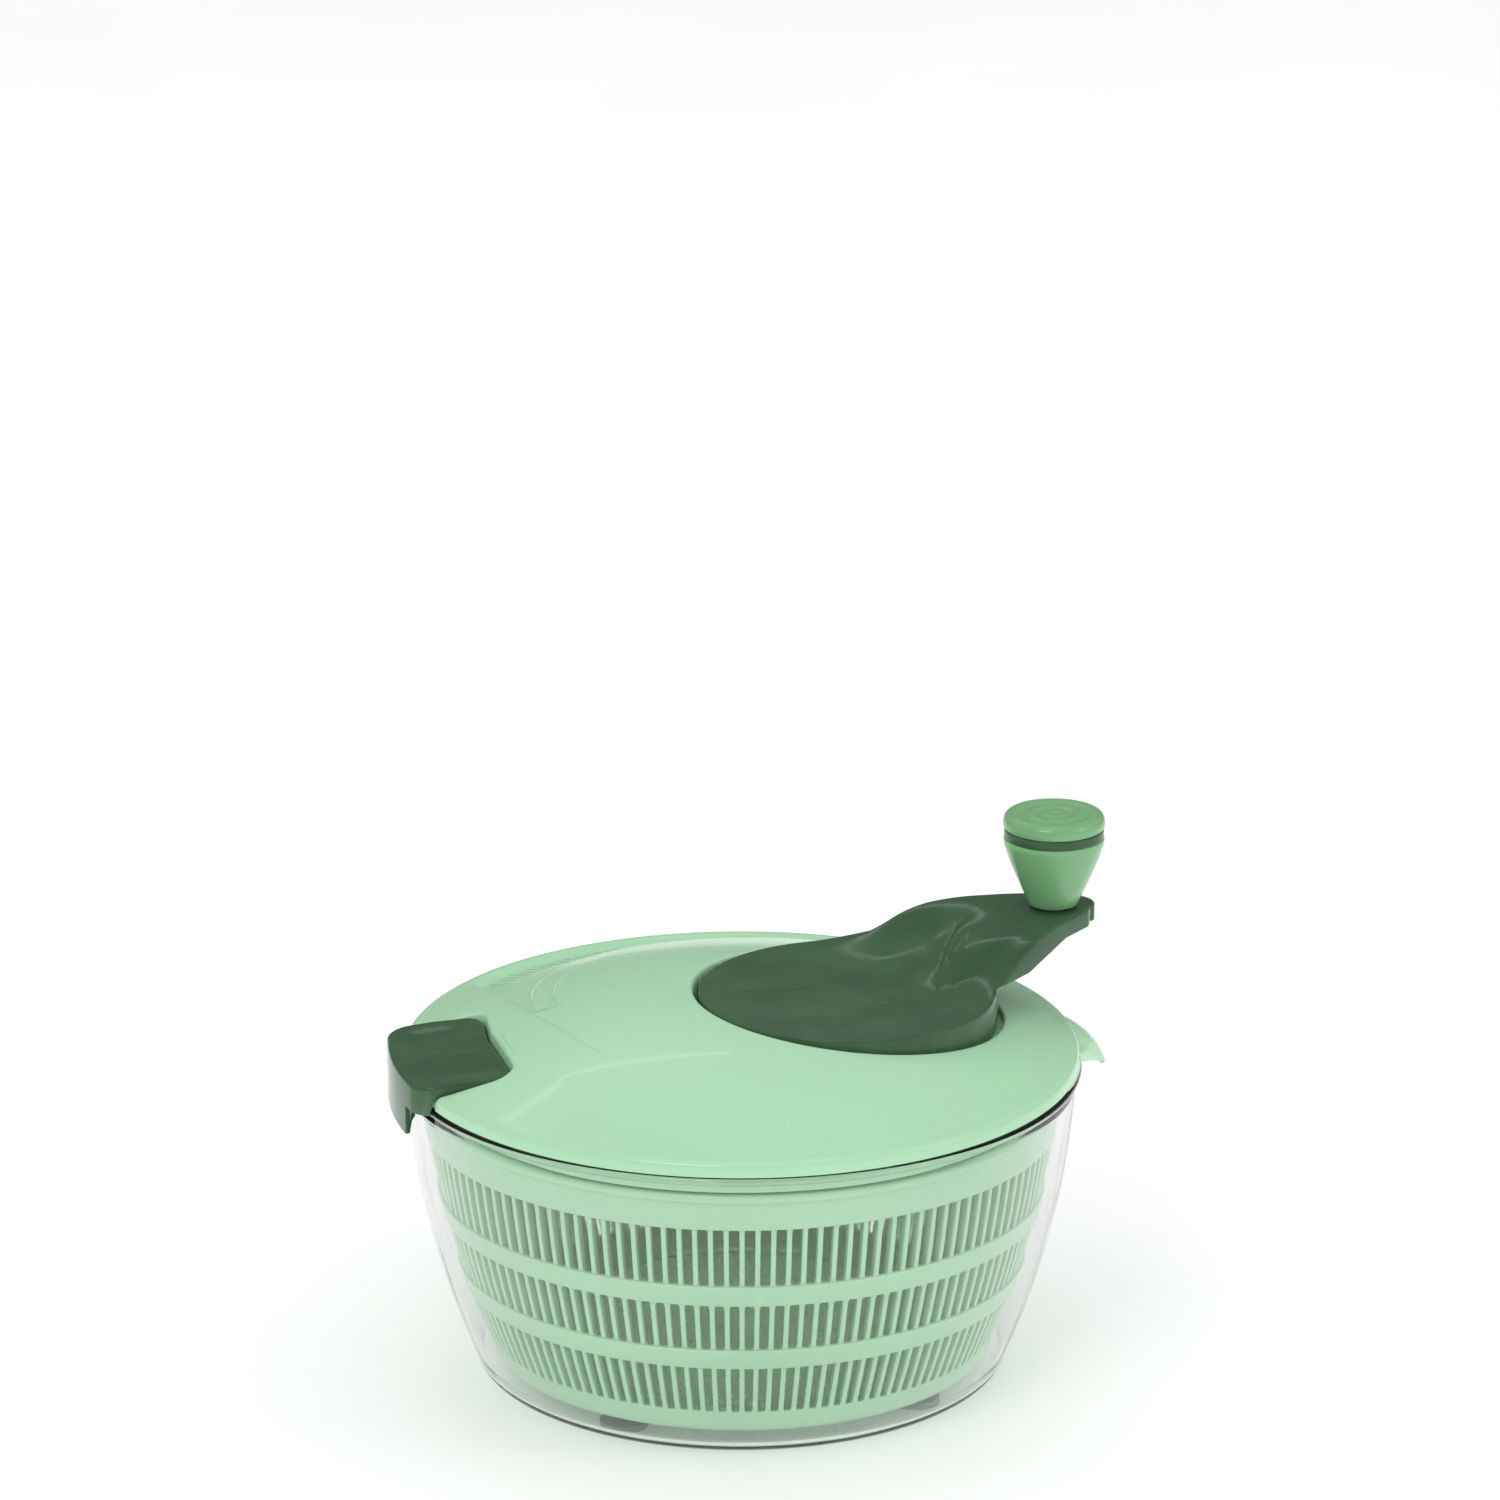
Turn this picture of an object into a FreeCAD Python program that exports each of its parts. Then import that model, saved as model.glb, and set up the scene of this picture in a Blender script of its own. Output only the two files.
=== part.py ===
import FreeCAD, Part
import Sketcher
import math
import os
import re

# A hand-cranked salad spinner: a clear bowl on four feet, a slotted basket that turns on the
# bowl's pivot, and a lid with a crank, a pair of gears, a finned drive plate and a latch.
#
# Frame: origin on the table under the middle of the bowl, +Z up. The latch is on -X, the
# pouring lip on +X. Lengths are in millimetres, angles in degrees.

DIMENSIONS = {
    # bowl: its wall is an arc of a circle whose centre lies across the axis
    "foot_height": 3,
    "foot_radius": 9,
    "foot_pitch_radius": 76,
    "bowl_height": 120,
    "bowl_wall": 2.2,
    "bowl_floor": 2.5,
    "bowl_base_radius": 90,
    "bowl_corner_height": 6,
    "bowl_bow_radius": 312,
    "bowl_bow_across": 188.4,
    "bowl_bow_up": 132.1,
    "bead_radius": 125,
    "bead_height": 5,
    "edge_break": 0.7,
    "pivot_height": 12,
    "pivot_base_radius": 17,
    "pivot_neck_radius": 4.2,
    "pivot_tip_radius": 2.6,
    # basket: ribs on the inside run past the slots and the bands between them
    "basket_top": 111.5,
    "basket_floor_up": 10,
    "basket_floor": 2,
    "basket_wall": 1.8,
    "basket_base_radius": 87.5,
    "basket_corner_height": 6.5,
    "basket_bow_radius": 303,
    "basket_bow_across": 185.4,
    "basket_bow_up": 134.8,
    "basket_lip_radius": 118.5,
    "basket_lip_height": 3,
    "basket_ring_radius": 83,
    "basket_ring_width": 3,
    "basket_ring_drop": 2,
    "rim_band_height": 14,
    "upper_slot_height": 23,
    "middle_slot_height": 19,
    "lower_slot_height": 20,
    "band_height": 8,
    "band_proud": 0.9,
    "slot_count": 96,
    "slot_width": 4.4,
    "rib_depth": 2.5,
    "rib_top_drop": 8,
    "floor_sectors": 8,
    "floor_hole_length": 5,
    "floor_hole_width": 3.6,
    "floor_hole_start": 26,
    "floor_hole_pitch": 9.6,
    "hub_clearance": 0.8,
    "hub_wall": 2.4,
    # lid cover: a shallow cone that rounds over to a nearly flat crown
    "lid_gap": 0.3,
    "lid_rim_radius": 124,
    "lid_rim_height": 3,
    "lid_shoulder_radius": 121,
    "lid_shoulder_up": 126,
    "lid_cone_radius": 90,
    "lid_cone_up": 134.2,
    "lid_crown_radius": 15,
    "lid_crown_up": 145,
    "lid_crown_bow": 275,
    "lid_wall": 2.5,
    "skirt_radius": 118,
    "skirt_wall": 2.2,
    "skirt_bottom": 112.5,
    "well_radius": 57,
    "well_floor_up": 130,
    "bearing_radius": 11,
    "bearing_top": 135.5,
    "running_fit": 0.06,
    "screw_radius": 1.5,
    "screw_hole_radius": 1.55,
    "drain_count": 17,
    "drain_length": 10,
    "drain_width": 2.4,
    "drain_radius": 108,
    "drain_first_angle": 99,
    "drain_step_angle": 2.25,
    "lip_reach": 138,
    "lip_tip_up": 108.5,
    "lip_wall": 2.4,
    "lip_bow": 34,
    "lip_half_width": 41,
    # latch, drawn along its own +X and turned to the lid's -X
    "latch_half_width": 33,
    "latch_gap": 0.8,
    "latch_inner_reach": 90,
    "latch_outer_reach": 129.3,
    "latch_corner_radius": 9,
    "latch_pivot_reach": 112,
    "latch_pivot_up": 124.5,
    "latch_pin_radius": 1.5,
    "pin_half_length": 36,
    "latch_boss_radius": 3.3,
    "latch_floor_up": 120.5,
    "latch_floor": 2,
    "hook_bottom": 107,
    "hook_half_width": 20,
    "latch_skirt_bottom": 118,
    "hook_inner_reach": 127,
    "hook_tooth_reach": 125.5,
    "hook_tooth_top": 116.4,
    "hook_tooth_bottom": 112,
    # crank and knob
    "crank_offset": 40,
    "crank_angle": 20,
    "crank_radius": 55,
    "crank_bottom": 131,
    "crank_top": 143.5,
    "crank_skin": 3,
    "arm_underside": 146.3,
    "arm_tip_underside": 152.5,
    "arm_tip_relief_start": 62,
    "arm_tip_relief_end": 85,
    "arm_top": 159.5,
    "arm_tip_radius": 17,
    "arm_rise_start": 14,
    "arm_rise_end": 74,
    "arm_bow": 60,
    "knob_throw": 90,
    "shaft_radius": 7,
    "shaft_hex_radius": 6.8,
    "shaft_bottom": 121.2,
    "spindle_radius": 3,
    "spindle_foot_radius": 2.5,
    "spindle_foot_depth": 5.5,
    "spindle_head_radius": 5.5,
    "spindle_head_height": 2,
    "spindle_head_up": 184.5,
    "knob_bottom": 160.6,
    "knob_foot_radius": 9.4,
    "knob_radius": 18.8,
    "knob_cone_up": 182.5,
    "knob_body_top": 187,
    "knob_socket_radius": 12,
    "band_top": 190.6,
    "knob_top": 196,
    "cap_radius": 19,
    "cap_ridge": 0.6,
    # gears and drive plate
    "gear_module": 1.25,
    "crank_teeth": 48,
    "pinion_teeth": 16,
    "gear_bottom": 121,
    "gear_height": 6,
    "washer_height": 1.2,
    "washer_radius": 8,
    "screw_head_radius": 4.2,
    "screw_head_height": 1.9,
    "crank_screw_length": 12,
    "post_radius": 4,
    "post_bottom": 113.2,
    "plate_radius": 114.3,
    "plate_top": 116.8,
    "plate_thickness": 2.3,
    "plate_hub_radius": 13,
    "plate_hub_drop": 1,
    "plate_hole_radius": 13,
    "plate_hole_pitch_radius": 62,
    "plate_hole_count": 6,
    "pinion_flange_radius": 14,
    "pinion_flange_height": 2.5,
    "pinion_top": 127,
    "pinion_hex_radius": 8,
    "fin_count": 8,
    "fin_width": 2.6,
    "fin_tip_up": 100.7,
    "fin_outer_reach": 113.2,
    "fin_tip_reach": 112,
    "fin_inner_reach": 101,
    "fin_tip_inner_reach": 106,
    "plate_screw_length": 10,
}

document = FreeCAD.newDocument("salad_spinner")
sheet = document.addObject("Spreadsheet::Sheet", "Dimensions")
for row, (alias, size) in enumerate(DIMENSIONS.items(), start=1):
    sheet.set(f"A{row}", alias)
    sheet.set(f"B{row}", str(size))
    sheet.setAlias(f"B{row}", alias)
document.recompute()


def formula(text):
    """The expression for a text in which every dimension stands by its bare name."""
    return re.sub(r"[a-z_]{4,}", lambda m: f"Dimensions.{m[0]}" if m[0] in DIMENSIONS else m[0], str(text))


def number(text):
    """What a formula comes to with the present dimensions."""
    return float(sheet.evalExpression(formula(text)))


def bind(feature, **formulas):
    for name, text in formulas.items():
        feature.setExpression(name, formula(text))


def new_body(name):
    body = document.addObject("PartDesign::Body", name)
    body.Label = name
    return body


def new_sketch(body, name, plane, offset=0, turn=0):
    """A sketch on one of the body's origin planes, shifted along its normal and turned about its upright."""
    sketch = body.newObject("Sketcher::SketchObject", name)
    support = next(f for f in body.Origin.OriginFeatures if f.Role == plane)
    sketch.AttachmentSupport = [(support, "")]
    sketch.MapMode = "FlatFace"
    sketch.AttachmentOffset = FreeCAD.Placement(FreeCAD.Vector(),
                                                FreeCAD.Rotation(FreeCAD.Vector(0, 1, 0), 1))
    sketch.setExpression(".AttachmentOffset.Base.z", formula(offset))
    sketch.setExpression(".AttachmentOffset.Rotation.Angle", formula(turn))
    return sketch


def place_point(sketch, edge, end, x, y):
    """Ties one end of an edge, or a circle's centre, to its two coordinates."""
    for direction, axis, text in (("DistanceX", -2, x), ("DistanceY", -1, y)):
        if abs(number(text)) < 1e-9:
            sketch.addConstraint(Sketcher.Constraint("PointOnObject", edge, end, axis))
        else:
            index = sketch.addConstraint(Sketcher.Constraint(direction, edge, end, number(text)))
            sketch.setExpression(f"Constraints[{index}]", formula(text))


def add_circle(sketch, x, y, radius):
    centre = FreeCAD.Vector(number(x), number(y), 0)
    edge = sketch.addGeometry(Part.Circle(centre, FreeCAD.Vector(0, 0, 1), number(radius)))
    index = sketch.addConstraint(Sketcher.Constraint("Radius", edge, number(radius)))
    sketch.setExpression(f"Constraints[{index}]", formula(radius))
    place_point(sketch, edge, 3, x, y)


def add_outline(sketch, corners):
    """A closed outline. A corner is (x, y), or (x, y, radius) where an arc leads to the next corner,
    with a positive radius where the arc bends to the left."""
    points = [FreeCAD.Vector(number(c[0]), number(c[1]), 0) for c in corners]
    ends = []
    for index, corner in enumerate(corners):
        start, stop = points[index], points[(index + 1) % len(points)]
        if len(corner) == 2:
            ends.append((sketch.addGeometry(Part.LineSegment(start, stop)), 1, 2))
            continue
        radius = number(corner[2])
        chord = stop - start
        left = FreeCAD.Vector(-chord.y, chord.x, 0).normalize()
        apothem = math.sqrt(max(radius**2 - (chord.Length / 2) ** 2, 0))
        centre = (start + stop) / 2 + left * math.copysign(apothem, radius)
        angles = [math.atan2(p.y - centre.y, p.x - centre.x) for p in (start, stop)]
        circle = Part.Circle(centre, FreeCAD.Vector(0, 0, 1), abs(radius))
        if radius > 0:
            ends.append((sketch.addGeometry(Part.ArcOfCircle(circle, *angles)), 1, 2))
        else:
            ends.append((sketch.addGeometry(Part.ArcOfCircle(circle, *angles[::-1])), 2, 1))
    for index, (edge, first, last) in enumerate(ends):
        following, its_first, _ = ends[(index + 1) % len(ends)]
        sketch.addConstraint(Sketcher.Constraint("Coincident", edge, last, following, its_first))
    for corner, (edge, first, last) in zip(corners, ends):
        place_point(sketch, edge, first, corner[0], corner[1])
        if len(corner) == 3:
            index = sketch.addConstraint(Sketcher.Constraint("Radius", edge, abs(number(corner[2]))))
            sketch.setExpression(f"Constraints[{index}]", formula(f"abs({corner[2]})"))


def revolve(body, name, corners, angle=360):
    """Material swept round the body's upright axis from an outline of (radius, height) corners."""
    sketch = new_sketch(body, f"{name}_outline", "XZ_Plane")
    add_outline(sketch, corners)
    feature = body.newObject("PartDesign::Revolution", name)
    feature.Profile = sketch
    feature.ReferenceAxis = (sketch, ["V_Axis"])
    feature.Angle = angle
    feature.Midplane = angle < 360
    return feature


def pad(body, name, sketch, length, midplane=False):
    feature = body.newObject("PartDesign::Pad", name)
    feature.Profile = sketch
    feature.Midplane = midplane
    bind(feature, Length=length)
    return feature


def pocket(body, name, sketch, length, midplane=False, reverse=False):
    feature = body.newObject("PartDesign::Pocket", name)
    feature.Profile = sketch
    feature.Midplane = midplane
    feature.Reversed = reverse
    bind(feature, Length=length)
    return feature


def polar_pattern(body, name, originals, count):
    """The originals repeated round the body's upright axis."""
    feature = body.newObject("PartDesign::PolarPattern", name)
    feature.Originals = originals
    feature.Axis = (next(f for f in body.Origin.OriginFeatures if f.Role == "Z_Axis"), [""])
    feature.Angle = 360
    bind(feature, Occurrences=count)
    body.Tip = feature
    return feature


def bowed(piece, height, inward=0):
    """The radius of the bowl's or the basket's wall at a height, measured some way inside its outer face."""
    rise = f"(({height}) - {piece}_bow_up)"
    return f"(sqrt(({piece}_bow_radius - ({inward}))^2 - {rise}^2) - {piece}_bow_across)"


def make_basket():
    body = new_body("basket")
    floor_top = "(basket_floor_up + basket_floor)"
    corner = "(basket_floor_up + basket_corner_height)"
    under_lip = "(basket_top - basket_lip_height)"
    rib_top = "(basket_top - rib_top_drop)"
    rib_inside = "(basket_wall + rib_depth)"
    hub_top = "(foot_height + bowl_floor + pivot_height + hub_clearance)"
    revolve(body, "shell", [
        ("0", hub_top),
        ("pivot_tip_radius + hub_clearance", f"{hub_top} - pivot_tip_radius"),
        ("pivot_neck_radius + hub_clearance", "basket_floor_up"),
        ("basket_ring_radius - basket_ring_width", "basket_floor_up"),
        ("basket_ring_radius - basket_ring_width", "basket_floor_up - basket_ring_drop"),
        ("basket_ring_radius", "basket_floor_up - basket_ring_drop"),
        ("basket_ring_radius", "basket_floor_up"),
        ("basket_base_radius", "basket_floor_up", "1.15 * basket_corner_height"),
        (bowed("basket", corner), corner, "basket_bow_radius"),
        (bowed("basket", under_lip), under_lip),
        ("basket_lip_radius", under_lip),
        ("basket_lip_radius", "basket_top - edge_break"),
        ("basket_lip_radius - edge_break", "basket_top"),
        (bowed("basket", "basket_top", "basket_wall - edge_break"), "basket_top"),
        (bowed("basket", rib_top, "basket_wall"), rib_top),
        (bowed("basket", f"{rib_top} - rib_depth", rib_inside), f"{rib_top} - rib_depth",
         "basket_wall + rib_depth - basket_bow_radius"),
        (bowed("basket", corner, rib_inside), corner),
        ("basket_base_radius - rib_depth", floor_top),
        ("pivot_neck_radius + hub_wall + 2", floor_top),
        ("pivot_tip_radius + hub_clearance + hub_wall", f"{hub_top} - 1"),
        ("pivot_tip_radius + 1", f"{hub_top} + basket_floor"),
        ("0", f"{hub_top} + basket_floor"),
    ])
    upper_top = "(basket_top - rim_band_height)"
    upper_low = f"({upper_top} - upper_slot_height)"
    middle_top = f"({upper_low} - band_height)"
    middle_low = f"({middle_top} - middle_slot_height)"
    lower_top = f"({middle_low} - band_height)"
    lower_low = f"({lower_top} - lower_slot_height)"
    bands = {"rim_band": (under_lip, upper_top), "upper_band": (upper_low, middle_top),
             "lower_band": (middle_low, lower_top)}
    for name, (top, bottom) in bands.items():
        revolve(body, name, [
            (bowed("basket", bottom, "basket_wall / 2"), bottom),
            (bowed("basket", bottom, "-band_proud"), bottom),
            (bowed("basket", top, "-band_proud"), top),
            (bowed("basket", top, "basket_wall / 2"), top),
        ])
    comb = new_sketch(body, "slot_comb", "XZ_Plane")
    inside = "basket_base_radius - 3 * rib_depth"
    outline = [(inside, lower_low)]
    for low, top in ((lower_low, lower_top), (middle_low, middle_top), (upper_low, upper_top)):
        outline += [(bowed("basket", low, "basket_wall"), low), ("basket_lip_radius", low),
                    ("basket_lip_radius", top), (bowed("basket", top, "basket_wall"), top)]
    outline = outline[:1] + outline[2:]
    outline += [(bowed("basket", rib_top, "basket_wall"), rib_top), (inside, rib_top)]
    add_outline(comb, outline)
    slot = pocket(body, "slot", comb, "slot_width", midplane=True)
    polar_pattern(body, "slots", [slot], "slot_count")
    sector = new_sketch(body, "floor_holes_outline", "XY_Plane", offset="basket_floor_up")
    for row in range(6):
        reach = f"(floor_hole_start + {row} * floor_hole_pitch)"
        for column in range(row + 1):
            across = f"({column} - {row} / 2) * floor_hole_pitch"
            add_outline(sector, [
                (f"{reach} - floor_hole_length / 2", f"{across} - floor_hole_width / 2"),
                (f"{reach} + floor_hole_length / 2", f"{across} - floor_hole_width / 2"),
                (f"{reach} + floor_hole_length / 2", f"{across} + floor_hole_width / 2"),
                (f"{reach} - floor_hole_length / 2", f"{across} + floor_hole_width / 2"),
            ])
    floor_holes = pocket(body, "floor_holes", sector, "basket_floor", reverse=True)
    polar_pattern(body, "floor_sectors", [floor_holes], "floor_sectors")
    return body


def new_primitive(kind, name, **formulas):
    primitive = document.addObject(f"Part::{kind}", name)
    bind(primitive, **formulas)
    return primitive


def move(feature, x=0, y=0, z=0):
    """Puts a feature's own origin at a place given by formulas."""
    for axis, text in zip("xyz", (x, y, z)):
        feature.setExpression(f".Placement.Base.{axis}", formula(text))
    return feature


def cylinder(name, radius, bottom, top, x=0, y=0):
    return move(new_primitive("Cylinder", name, Radius=radius, Height=f"({top}) - ({bottom})"), x, y, bottom)


def block(name, low, high):
    """A box between two opposite corners, each three formulas."""
    spans = {side: f"({b}) - ({a})" for side, a, b in zip(("Length", "Width", "Height"), low, high)}
    return move(new_primitive("Box", name, **spans), *low)


def turned(name, corners, angle=360, start=0):
    """A solid swept round the upright axis from an outline of (radius, height) corners."""
    sketch = document.addObject("Sketcher::SketchObject", f"{name}_outline")
    sketch.Placement = FreeCAD.Placement(FreeCAD.Vector(), FreeCAD.Rotation(FreeCAD.Vector(1, 0, 0), 90))
    add_outline(sketch, corners)
    feature = document.addObject("Part::Revolution", name)
    feature.Source = sketch
    feature.Axis = (0, 0, 1)
    feature.Base = (0, 0, 0)
    feature.Angle = angle
    feature.Solid = True
    feature.Placement = FreeCAD.Placement(FreeCAD.Vector(), FreeCAD.Rotation(FreeCAD.Vector(0, 0, 1), start))
    return feature


def prism(name, corners, bottom, top):
    """A straight upright solid from an outline of (x, y) corners."""
    sketch = document.addObject("Sketcher::SketchObject", f"{name}_outline")
    add_outline(sketch, corners)
    feature = document.addObject("Part::Extrusion", name)
    feature.Base = sketch
    feature.DirMode = "Custom"
    feature.Dir = (0, 0, 1)
    feature.Solid = True
    bind(feature, LengthFwd=f"({top}) - ({bottom})")
    return move(feature, z=bottom)


def common(name, first, second):
    feature = document.addObject("Part::Common", name)
    feature.Base, feature.Tool = first, second
    return feature


def fuse(name, *shapes):
    feature = document.addObject("Part::MultiFuse", name)
    feature.Shapes = list(shapes)
    return feature


def cut(name, base, *tools):
    feature = document.addObject("Part::Cut", name)
    feature.Base = base
    feature.Tool = tools[0] if len(tools) == 1 else fuse(f"{name}_tools", *tools)
    return feature


def hexagon(radius, turn="0"):
    return [(f"({radius}) * cos({angle} + {turn})", f"({radius}) * sin({angle} + {turn})")
            for angle in range(30, 390, 60)]


def make_bowl():
    body = new_body("bowl")
    floor_top = "(foot_height + bowl_floor)"
    corner = "(foot_height + bowl_corner_height)"
    under_bead = "(bowl_height - bead_height)"
    pivot_top = f"({floor_top} + pivot_height)"
    revolve(body, "shell", [
        ("0", "foot_height"),
        ("bowl_base_radius", "foot_height", "1.6 * bowl_corner_height"),
        (bowed("bowl", corner), corner, "bowl_bow_radius"),
        (bowed("bowl", under_bead), under_bead),
        ("bead_radius", f"{under_bead} + edge_break"),
        ("bead_radius", "bowl_height - edge_break"),
        ("bead_radius - edge_break", "bowl_height"),
        (bowed("bowl", "bowl_height", "bowl_wall - edge_break"), "bowl_height"),
        (bowed("bowl", "bowl_height - edge_break", "bowl_wall"), "bowl_height - edge_break",
         "bowl_wall - bowl_bow_radius"),
        (bowed("bowl", f"{corner} + 0.8", "bowl_wall"), f"{corner} + 0.8",
         "bowl_wall - 1.6 * bowl_corner_height"),
        ("bowl_base_radius", floor_top),
        ("pivot_base_radius", floor_top, "-1.2 * pivot_base_radius"),
        ("pivot_neck_radius", "basket_floor_up"),
        ("pivot_tip_radius", f"{pivot_top} - pivot_tip_radius", "pivot_tip_radius"),
        ("0", pivot_top),
    ])
    return body


def make_foot(number_of_foot):
    body = new_body(f"foot_{number_of_foot}")
    revolve(body, "pad", [
        ("0", "0"), ("foot_radius - edge_break", "0"), ("foot_radius", "edge_break"),
        ("foot_radius", "foot_height"), ("0", "foot_height"),
    ])
    angle = 90 * number_of_foot - 45
    return move(body, f"foot_pitch_radius * cos({angle})", f"foot_pitch_radius * sin({angle})")


def make_lid_cover():
    rim_bottom = "(bowl_height + lid_gap)"
    blank = turned("lid_blank", [
        ("0", "skirt_bottom"),
        ("skirt_radius", "skirt_bottom"),
        ("skirt_radius", rim_bottom),
        ("lid_rim_radius", rim_bottom),
        ("lid_rim_radius", f"{rim_bottom} + lid_rim_height",
         "lid_rim_radius - lid_shoulder_radius + lid_gap"),
        ("lid_shoulder_radius", "lid_shoulder_up"),
        ("lid_cone_radius", "lid_cone_up", "lid_crown_bow"),
        ("lid_crown_radius", "lid_crown_up"),
        ("0", "lid_crown_up"),
    ])
    hollow = turned("lid_hollow", [
        ("0", "skirt_bottom - 1"),
        ("skirt_radius - skirt_wall", "skirt_bottom - 1"),
        ("skirt_radius - skirt_wall", "lid_shoulder_up - lid_wall + 1"),
        ("lid_cone_radius", "lid_cone_up - lid_wall", "lid_crown_bow - lid_wall"),
        ("lid_crown_radius", "lid_crown_up - lid_wall"),
        ("0", "lid_crown_up - lid_wall"),
    ])
    well_cup = common("well_cup", blank, cylinder(
        "well_cup_column", "well_radius + lid_wall", "well_floor_up - lid_wall", "lid_crown_up + 1",
        x="crank_offset"))
    latch_cup = common("latch_cup", blank, block(
        "latch_cup_column",
        ("-lid_rim_radius - 1", "-latch_half_width - latch_gap - lid_wall", "latch_floor_up - latch_floor"),
        ("-latch_inner_reach + latch_gap + lid_wall", "latch_half_width + latch_gap + lid_wall",
         "lid_crown_up")))
    lip_section = turned("lip_section", [
        ("lid_shoulder_radius - 1", "lid_shoulder_up + 0.2"),
        ("lid_shoulder_radius - 2", "lid_shoulder_up - lid_wall"),
        ("lid_rim_radius - 1", "lid_shoulder_up - lid_wall", "-lip_bow"),
        ("lip_reach - lip_wall", "lip_tip_up - 0.6"),
        ("lip_reach", "lip_tip_up", "lip_bow + lip_wall"),
    ], angle=44, start=-22)
    lip = common("pouring_lip", lip_section, prism("lip_plan", [
        ("lid_shoulder_radius - 10", "-lip_half_width - 5"),
        ("lid_shoulder_radius - 4", "-lip_half_width"),
        ("lip_reach + 0.5", "-1.5"),
        ("lip_reach + 0.5", "1.5"),
        ("lid_shoulder_radius - 4", "lip_half_width"),
        ("lid_shoulder_radius - 10", "lip_half_width + 5"),
    ], "lip_tip_up - 5", "lid_shoulder_up + 5"))
    bearing = cylinder("crank_bearing", "bearing_radius", "well_floor_up - lid_wall", "bearing_top",
                       x="crank_offset")
    post = cylinder("drive_post", "post_radius", "post_bottom", "well_floor_up - 1")
    shell = cut("lid_shell", blank, hollow)
    openings = [
        cylinder("crank_well", "well_radius", "well_floor_up", "lid_crown_up + 1", x="crank_offset"),
        block("latch_recess",
              ("-skirt_radius - 0.3", "-latch_half_width - latch_gap", "latch_floor_up"),
              ("-latch_inner_reach + latch_gap", "latch_half_width + latch_gap", "lid_crown_up")),
        cut("latch_notch",
            block("latch_notch_block",
                  ("-lid_rim_radius - 1", "-latch_half_width - latch_gap", f"{rim_bottom} - 1"),
                  ("-latch_pivot_reach + 6", "latch_half_width + latch_gap", "lid_crown_up")),
            cylinder("latch_notch_core", "skirt_radius", f"{rim_bottom} - 2", "lid_crown_up + 1")),
    ]
    pin_hole = cylinder("latch_pin_hole", "latch_pin_radius + running_fit", "0", "2 * pin_half_length")
    pin_hole.Placement = FreeCAD.Placement(FreeCAD.Vector(), FreeCAD.Rotation(FreeCAD.Vector(1, 0, 0), 90))
    move(pin_hole, "-latch_pivot_reach", "pin_half_length", "latch_pivot_up")
    openings.append(pin_hole)
    for index in range(int(number("drain_count"))):
        angle = f"(drain_first_angle + {index} * drain_step_angle)"
        drain = new_primitive("Box", f"drain_{index}", Length="drain_length", Width="drain_width",
                              Height="20")
        drain.setExpression(".Placement.Rotation.Angle", formula(angle))
        inner = "(drain_radius - drain_length / 2)"
        openings.append(move(
            drain,
            f"{inner} * cos({angle}) + drain_width / 2 * sin({angle})",
            f"{inner} * sin({angle}) - drain_width / 2 * cos({angle})",
            "lid_shoulder_up - 5"))
    cover = cut("lid_cover_open", fuse("lid_cover_walls", shell, well_cup, latch_cup, lip), *openings)
    holes = [
        cylinder("bearing_bore", "shaft_radius + running_fit", "well_floor_up - lid_wall - 1",
                 "bearing_top + 1", x="crank_offset"),
        cylinder("post_hole", "screw_hole_radius", "post_bottom - 1", "post_bottom + plate_screw_length"),
    ]
    return cut("lid_cover", fuse("lid_cover_bosses", cover, bearing, post), *holes)


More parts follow.
